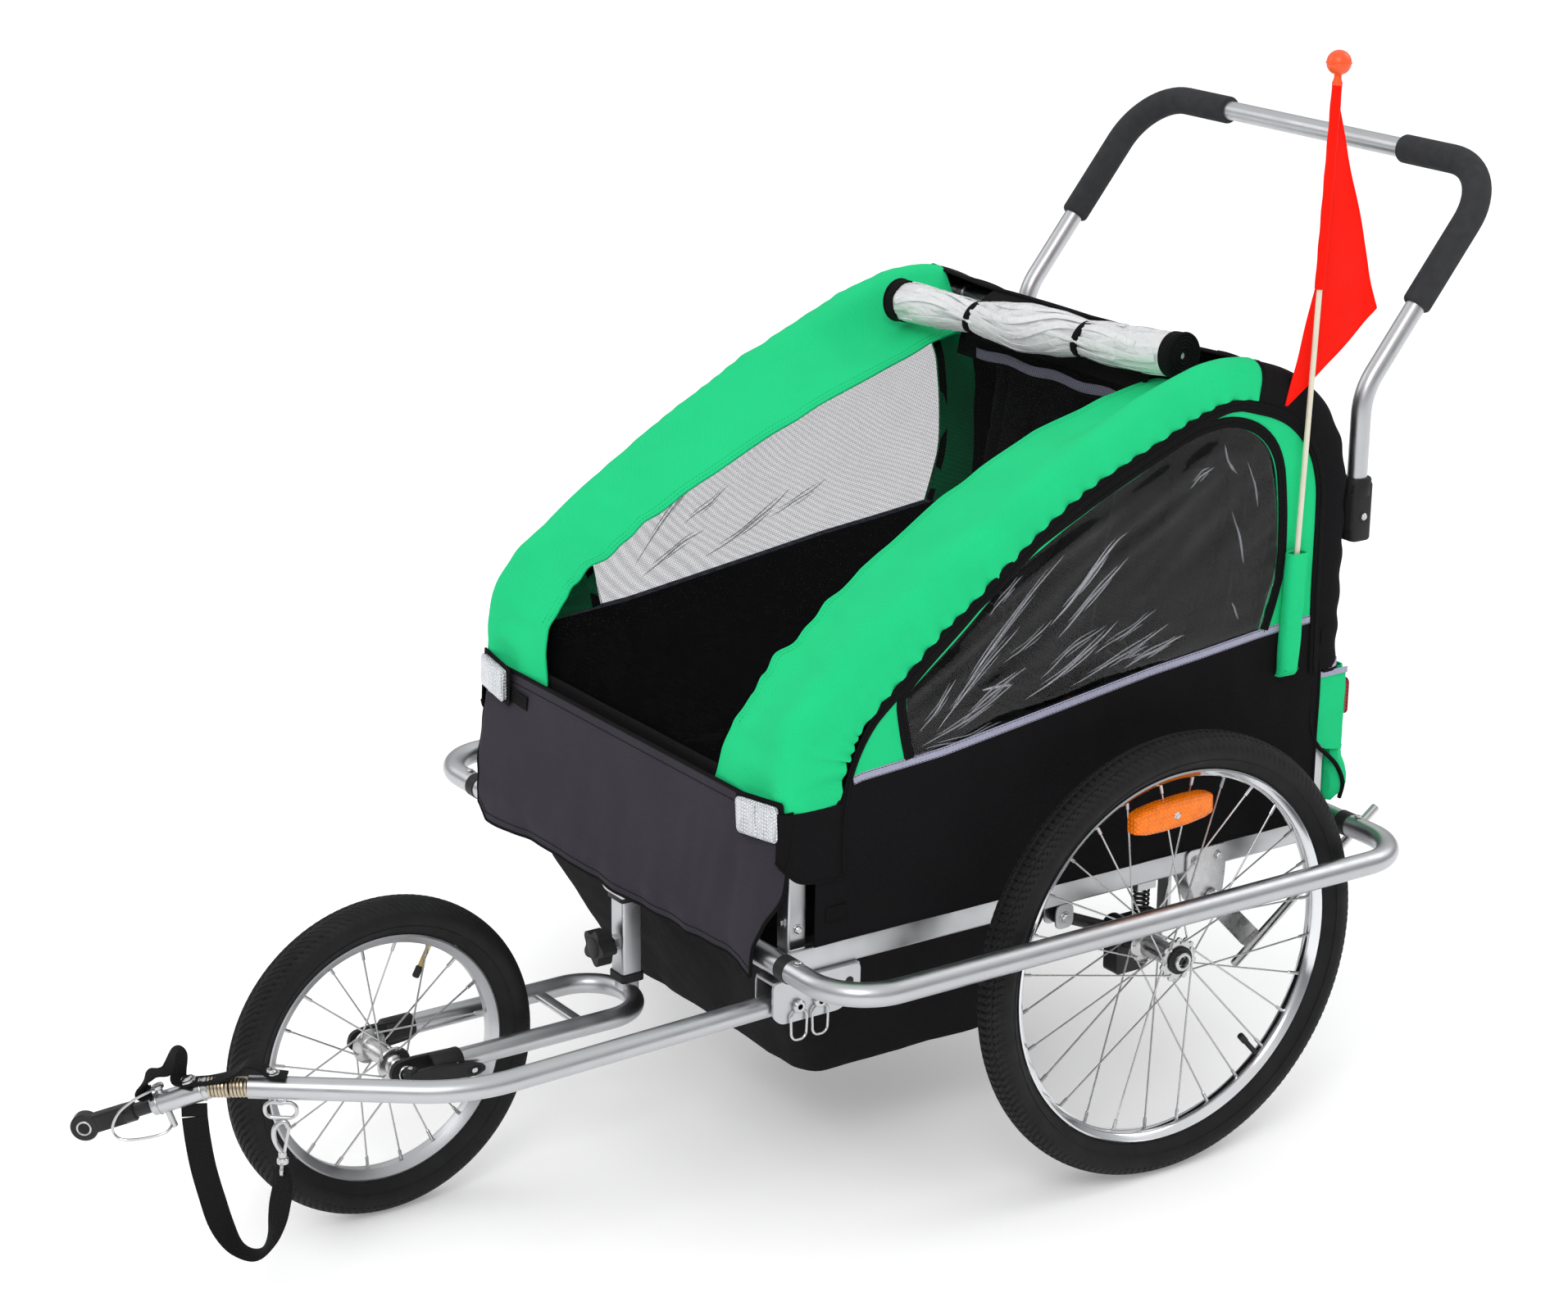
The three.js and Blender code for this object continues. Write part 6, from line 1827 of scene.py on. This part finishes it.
def make_footwell():
    rings, steps = [], 34
    for i in range(steps + 1):
        v = i / steps
        drop = min(v / 0.86, 1)
        curl = max(0, (v - 0.86) / 0.14)
        shrink = 1 - 0.9 * curl
        z = lerp(317, 128, drop) - 6 * math.sin(curl * math.pi / 2)
        half_x = lerp(268, 200, drop) * (1 if not curl else shrink)
        y0, y1 = lerp(-433, -347, drop), lerp(-50, -75, drop)
        mid, half_y = (y0 + y1) / 2, (y1 - y0) / 2 * (1 if not curl else shrink)
        corner = lerp(16, 26, drop) * (1 if not curl else max(shrink, 0.15))
        ring_points = []
        for x, y in rounded(2 * half_x, 2 * half_y, corner, 7):
            ring_points.append(Vector((x, y + mid, z)))
        dense = []
        for a, b in zip(ring_points, ring_points[1:] + ring_points[:1]):
            parts = 16 if (b - a).length > 60 * max(shrink, 0.2) else 1
            dense += [a.lerp(b, k / parts) for k in range(parts)]
        rings.append(dense)
    size = min(len(r) for r in rings)
    rings = [r if len(r) == size else resample(r, size) for r in rings]
    for i, r in enumerate(rings):
        v = i / steps
        for p in r:
            out = Vector((p.x, p.y + 240, 0)).normalized()
            fold = 4.5 * rough(p.x / 45 + p.y / 60, v * 1.3, 0.4, 1) + 2.2 * rough(p.x / 16 + p.y / 18,
                    v * 2, 6.4, 1)
            p += out * fold * smooth(v, 0, 0.25) * (1 - smooth(v, 0.86, 1.0)) - out * 3 * smooth(v, 0.02,
                    0.2)
    made = piece("footwell_cloth", pouch(rings, 1.8), "frame", BLACK_CLOTH,
            ["footwell_and_floor"])
    floor_rows = ruled([Vector((x, -52, 315)) for x in np.linspace(266, -266, 50)],
            [Vector((x, 286, 315)) for x in np.linspace(266, -266, 50)], 36)
    floor_rows = ripple(floor_rows, lambda i, j, p: 1.3 * rough(p.x, p.y, 0, 60))
    cloth_piece("floor_cloth", floor_rows, 1.8, BLACK_CLOTH)
    for side in ALL_SIDES:
        edge = [Vector((267, 0, 317)), Vector((274, 0, 324.5)), Vector((293, 0, 325)),
                Vector((300.5, 0, 331))]
        strip = [[p + Vector((0, y, 0)) for y in np.linspace(-434, 286, 70)] for p in through(edge, 10)]
        strip = ripple(strip, lambda i, j, p: 0.5 * rough(p.x, p.y, 0, 30))
        cloth_piece(side + "_rail_cover", strip, 1.0, BLACK_CLOTH, mirror=side == "right")
    hem = [Vector(corner) for corner in ((268, -433, 314), (268, -50, 314), (-268, -50, 314),
            (-268, -433, 314))]
    middle = hem[-1].lerp(hem[0], 0.5)
    loop = bent([middle, *hem, middle], 18)
    piece("footwell_hem", tube(loop[:-1], 2.4, 8, True), "frame", BINDING)


def resample(points, count):
    """count points spaced evenly round a closed line."""
    closed = points + points[:1]
    reach = [0.0]
    for a, b in zip(closed, closed[1:]):
        reach.append(reach[-1] + (b - a).length)
    result = []
    for i in range(count):
        target = reach[-1] * i / count
        k = int(np.searchsorted(reach, target, side="right"))
        span = max(reach[k] - reach[k - 1], 1e-9)
        result.append(closed[k - 1].lerp(closed[k], (target - reach[k - 1]) / span))
    return result


def make_bag():
    """A sagging pouch hung from the back hem and pulled in by its drawn lower edge."""
    heights = [497, 485, 470, 450, 430, 412, 400, 388, 376, 364, 353, 345, 340, 338]
    rear = [300, 303, 305, 306, 306, 305, 305, 309, 316, 320, 321, 317, 308, 298]
    front = [288, 288, 288, 288, 288, 288, 288, 288, 288, 288, 288, 289, 291, 294]
    rings = []
    for i, z in enumerate(heights):
        row = []
        half = 297 - 4 * smooth(i, 6, 13)
        depth = rear[i] - front[i]
        for x, y in rounded(2 * half, max(depth, 4.2), min(depth, 22) / 2.05, 6):
            row.append(Vector((x, y + (rear[i] + front[i]) / 2, z)))
        dense = []
        for a, b in zip(row, row[1:] + row[:1]):
            parts = 60 if (b - a).length > 150 else 1
            dense += [a.lerp(b, k / parts) for k in range(parts)]
        rings.append(dense)
    size = min(len(r) for r in rings)
    rings = [resample(r, size) for r in rings]
    for i, r in enumerate(rings):
        low = smooth(i, 5, 9) * (1 - smooth(i, 11, 13))
        for p in r:
            if p.y > 296:
                sag = 4.5 * rough(p.x / 60, p.z / 60, 0.3, 1) + 3.5 * rough(p.x / 22, p.z / 70, 5, 1) * low
                p.y += sag * smooth(i, 0, 3) * 0.9
                p.z += 3 * rough(p.x, 0, 0, 90) * smooth(i, 4, 8)
    made = piece("rear_bag_cloth", pouch(rings, 1.6), "frame", GREEN, ["rear_storage_bag"])
    drawn = [p + Vector((0, 1.2, 0)) for p in rings[6] if p.y > 300]
    drawn.sort(key=lambda p: p.x)
    piece("bag_gather_band", tube(drawn, 2.6, 10), "frame", BINDING)
    for side in ALL_SIDES:
        wing_top = [Vector((300, y, 492)) for y in np.linspace(250, 300, 16)]
        wing_low = [Vector((300, y, float(np.interp(y, [250, 264, 276, 300], [437, 414, 404, 400]))))
                for y in np.linspace(250, 300, 16)]
        wing = ripple(ruled(wing_top, wing_low, 12), lambda i, j, p: 1.2 * rough(p.y, p.z, 0, 20))
        cloth_piece(side + "_bag_wing", wing, 1.4, GREEN, mirror=side == "right",
                flat=(0.046, 0.09))
        edge = smooth_path([(301, 249, 500), (301.5, 248, 470), (301.5, 250, 436), (301.5, 262, 412),
                (301, 280, 396), (300, 296, 380), (298, 308, 358), (293, 309, 338)], 6)
        piece(side + "_bag_piping", tube(edge, 2.5, 10).on(side), "frame", BINDING)
        band = [Vector((302.2, y, 493.5)) for y in np.linspace(251, 300, 14)]
        piece(side + "_wing_tape", sweep(band, rounded(1.4, 7, 0.6, 2), facing=(1, 0, 0)).on(side), "frame",
                REFLECTIVE)
        place = Matrix.Translation((276, 308, 457)) @ Matrix.Rotation(math.pi, 4, "Z")
        lens = rounded_pad((-17, -20), (17, 20), 5, 7).turned(place)
        piece(side + "_rear_reflector", lens.on(side), "frame", RED_PRISM)
        rim = tube([place @ Vector((x, -4, z)) for x, z in rounded(34, 40, 5, 5)], 1.2, 8, True)
        piece(side + "_rear_reflector_rim", rim.on(side), "frame", RED_PRISM)


# ---------------------------------------------------------------- seat
def settle(obj, pressure, frames, limit):
    """Cloth pressure fills the pad; no point moves further than limit millimetres."""
    scene = bpy.context.scene
    rest = np.array([v.co for v in obj.data.vertices])
    cloth = obj.modifiers.new("cloth", "CLOTH")
    cloth.settings.use_pressure = True
    cloth.settings.uniform_pressure_force = pressure
    cloth.settings.effector_weights.gravity = 0
    cloth.point_cache.frame_start = 1
    cloth.point_cache.frame_end = frames
    for number in range(1, frames + 1):
        scene.frame_set(number)
    swollen = obj.evaluated_get(bpy.context.evaluated_depsgraph_get())
    found = np.array([v.co for v in swollen.data.vertices])
    move = found - rest
    far = np.maximum(np.linalg.norm(move, axis=1, keepdims=True), 1e-9)
    move *= np.minimum(1, limit * METRES / far)
    obj.modifiers.remove(cloth)
    obj.data.vertices.foreach_set("co", (rest + move).ravel())
    obj.data.update()
    scene.frame_set(1)


def flatten_modifiers(obj):
    made = bpy.data.meshes.new_from_object(obj.evaluated_get(bpy.context.evaluated_depsgraph_get()))
    for modifier in list(obj.modifiers):
        obj.modifiers.remove(modifier)
    made.materials.clear()
    made.materials.append(obj.data.materials[0])
    obj.data = made


def make_pad(name, shape, look, replaces, limit, channels):
    """A stuffed pad: remeshed, filled by cloth pressure, smoothed, then quilted along its channels."""
    made = piece(name, shape, "frame", look, replaces)
    voxels = made.modifiers.new("voxels", "REMESH")
    voxels.mode = "VOXEL"
    voxels.voxel_size = 6 * METRES
    flatten_modifiers(made)
    settle(made, 4.0, 18, limit)
    smoother = made.modifiers.new("smooth", "SUBSURF")
    smoother.levels = smoother.render_levels = 1
    flatten_modifiers(made)
    for vertex, normal in zip(made.data.vertices, [n.vector.copy() for n in made.data.vertex_normals]):
        place = Vector((vertex.co.x, vertex.co.y - AXLE_Y, vertex.co.z)) / METRES
        vertex.co -= normal * channels(place) * METRES
    made.data.shade_smooth()
    return made


SEAT_HALF = 256.0
BACK_LOW, BACK_HIGH = Vector((0, 166, 366)), Vector((0, 234, 758))


def back_y(z):
    """The front face of the seat back."""
    return lerp(BACK_LOW.y, BACK_HIGH.y, (z - BACK_LOW.z) / (BACK_HIGH.z - BACK_LOW.z)) + 1


def make_seats():
    groove = lambda distance, depth, width: depth * math.exp(-((distance / width) ** 2))
    cushion = plate(rounded_outline([(-36, 349), (156, 349), (156, 369), (-36, 369)], 8), -SEAT_HALF,
            SEAT_HALF)
    channels = lambda p: groove(p.x, 5, 5) + sum(groove(abs(p.x) - x, 2.2, 4)
            for x in (85, 170)) + groove(p.y - 112, 2, 4)
    make_pad("cushion_pad", cushion, SEAT_MESH, ["seat_cushion"], 9, channels)
    outline = [(BACK_LOW.y, BACK_LOW.z), (BACK_LOW.y + 14, BACK_LOW.z), (BACK_HIGH.y + 12, BACK_HIGH.z),
            (BACK_HIGH.y, BACK_HIGH.z)]
    back = plate(rounded_outline(outline, 6), -SEAT_HALF, SEAT_HALF)
    lines = lambda p: groove(p.x, 4, 5) + sum(groove(p.z - z, 2.4, 4)
            for z in (460, 560, 660)) + groove(abs(p.x) - 215, 2, 4)
    make_pad("back_pad", back, SEAT_MESH, ["seat_back"], 7, lines)


def make_harness():
    straps, pads, buckles = [], [], []
    for middle in (-128, 128):
        chest = Vector((middle, 126, 452))
        for away in (-1, 1):
            top = Vector((middle + 46 * away, back_y(705) - 8, 705))
            route = [top, Vector((middle + 48 * away, back_y(640) - 14, 640)),
                    Vector((middle + 42 * away, back_y(560) - 24, 560)),
                     Vector((middle + 26 * away, 140, 490)), chest + Vector((9 * away, 0, 6))]
            path = smooth_path(route, 8)
            straps.append(sweep(path, rounded(24, 2, 0.9, 2), facing=(1, 0, 0)))
            pads.append(sweep(path[3:22], rounded(42, 9, 4, 3), facing=(1, 0, 0), grow=[0.75] + [1] * 17
                    + [0.75]))
            lap = [chest + Vector((12 * away, 2, -8)), Vector((middle + 60 * away, 142, 408)),
                    Vector((middle + 96 * away, 160, 384))]
            straps.append(sweep(smooth_path(lap, 8), rounded(2, 24, 0.9, 2), facing=(0, 1, 0)))
            for k in (24, 27):
                square = [path[k] + Vector((a, -2.5, b)) for a, b in rounded(32, 20, 2, 2)]
                buckles.append(tube(square, 1.8, 8, True))
        crotch = smooth_path([chest + Vector((0, 0, -14)), Vector((middle, 100, 410)),
                Vector((middle, 74, 381)), Vector((middle, 60, 376))], 8)
        straps.append(sweep(crotch, rounded(24, 2, 0.9, 2), facing=(1, 0, 0)))
        shell = sweep([chest + Vector((0, -7, 0)), chest + Vector((0, 7, 0))], rounded(48, 42, 9, 4),
                facing=(1, 0, 0))
        buckles.append(shell + bar(chest + Vector((0, -9, 0)), chest + Vector((0, -6, 0)), 10, 28, 1.2))
    piece("harness_webbing", total(straps), "frame", WEBBING)
    piece("harness_shoulder_pads", total(pads), "frame", SEAT_MESH)
    piece("harness_buckles", total(buckles), "frame", BLACK_PLASTIC, bevel=0.6)


# ---------------------------------------------------------------- flag and its pocket
POLE_X, POLE_Y, POLE_LOW, POLE_TOP, POLE_LEAN = 311.0, 202.5, 512.0, 1136.0, 0.0362


def pole_at(z):
    return Vector((POLE_X, POLE_Y + POLE_LEAN * (z - POLE_LOW), z))


def make_flag():
    piece("flag_pole_rod", bar(pole_at(POLE_LOW), pole_at(POLE_TOP), 3, 20, 0.8), "flag", POLE,
            ["flag_pole"])
    rows = []
    for z in np.linspace(1143, 807, 90):
        left = pole_at(z).y + 2 if z > 930 else float(np.interp(z, [806, 930], [184, 218]))
        right = float(np.interp(z, [806, 897, 1143], [185.5, 309, 229]))
        rows.append([Vector((POLE_X - 5.5, lerp(left, max(right, left + 1.2), k / 26), z))
                for k in range(27)])

    def push(i, j, point):
        away = max(point.y - pole_at(point.z).y, 0) / 90
        hang = smooth(940 - point.z, 0, 120)
        return (4.5 * math.sin(point.y / 17 + point.z / 70) * away
                + 5 * rough(point.y, point.z, 0, 60) * max(away, 0.6 * hang)) * -1 + 1.5

    rows = ripple(rows, push)
    cloth_piece("flag_cloth", rows, 0.8, FLAG_CLOTH, ["flag"],
            body="flag",
                flat=(0.125, 0.338))
    sleeve = sweep([pole_at(z) for z in np.linspace(930, 1146, 30)], ring(5.4, 20, 0.9),
            grow=[1 + 0.05 * math.sin(i * 1.3) for i in range(30)])
    edge = tube([row[-1] for row in rows], 1.1, 8)
    piece("flag_sleeve", sleeve + edge, "flag", FLAG_CLOTH)
    threads = stitches([p.lerp(q, 0.5) + Vector((0.9, 0, 0)) for p,
            q in zip([r[2] for r in rows[:56]], [r[3] for r in rows[:56]])], 4.4, 2.9, 0.4)
    piece("flag_stitching", threads, "flag", FLAG_CLOTH)
    top = pole_at(1166)
    profile = [(0, -13)] + [(13 * math.cos(a), 13 * math.sin(a))
            for a in np.linspace(-1.35, 1.35, 15)] + [(0, 13)]
    ball = lathe(profile, 40, closed=False).turned(Matrix.Rotation(-math.pi / 2, 3, "Y")).moved(top)
    neck = sweep([pole_at(z) for z in (1143, 1146, 1150, 1156)], ring(5.2, 24), grow=[1, 1, 0.75, 0.75])
    band = tube([top + Vector((13.1 * math.cos(a), 13.1 * math.sin(a), 0)) for a in circle_angles(40)], 0.6,
            6, True)
    piece("flag_ball", ball + neck + band, "flag",
            Look("flag_cap", (0.90, 0.09, 0.012), 0.35).vary(14, 0.08).grain(3, 0.05).done())


def make_pocket():
    sections = [(505, 4.0), (508, 11), (512, 14), (530, 14.5), (560, 14.5), (600, 14.5), (636, 14.5),
            (643, 15)]
    rings = []
    for z, depth in reversed(sections):
        half = 11.5 if z > 515 else 10.5
        centre = Vector((SIDE_X + depth / 2 + 1.0, pole_at(z).y + 0.5, z))
        ring_points = [centre + Vector((x, y, 0)) for x,
                y in rounded(depth, 2 * half, min(depth / 2.05, 6), 5)]
        rings.append(resample(ring_points, 48))
    fine = []
    for a, b in zip(rings, rings[1:]):
        fine += [[p.lerp(q, k / 5) for p, q in zip(a, b)] for k in range(5)]
    fine.append(rings[-1])
    for r in fine:
        for p in r:
            p.x += 0.9 * rough(p.y, p.z, 0, 18)
    piece("flag_pocket_cloth", pouch(fine, 1.2), "frame", GREEN)
    band = [fine[2][k] + (fine[2][k] - pole_at(fine[2][k].z)).normalized() * 0.5 for k in range(48)]
    hems = stitches(band + band[:1], 4.2, 2.8, 0.42)
    low = [Vector((SIDE_X + 15.8, y, 514)) for y in np.linspace(pole_at(514).y - 9, pole_at(514).y + 9, 7)]
    edges = stitches(low, 4.2, 2.8, 0.42)
    for away in (-9.6, 9.6):
        edges += stitches([Vector((SIDE_X + 13.2, pole_at(z).y + away, z))
                for z in np.linspace(516, 640, 30)], 4.2, 2.8, 0.42)
    piece("flag_pocket_stitching", hems + edges, "frame", GREEN_SHADED)
    rim = tube(fine[0], 1.3, 8, True)
    piece("flag_pocket_rim", rim, "frame", GREEN)


make_arch_covers()
make_posts_and_arches()
make_roof()
make_side_panels()
make_skirt()
make_front_reflectors()
make_screen()
make_roll()
make_footwell()
make_bag()
make_seats()
make_harness()
make_flag()
make_pocket()
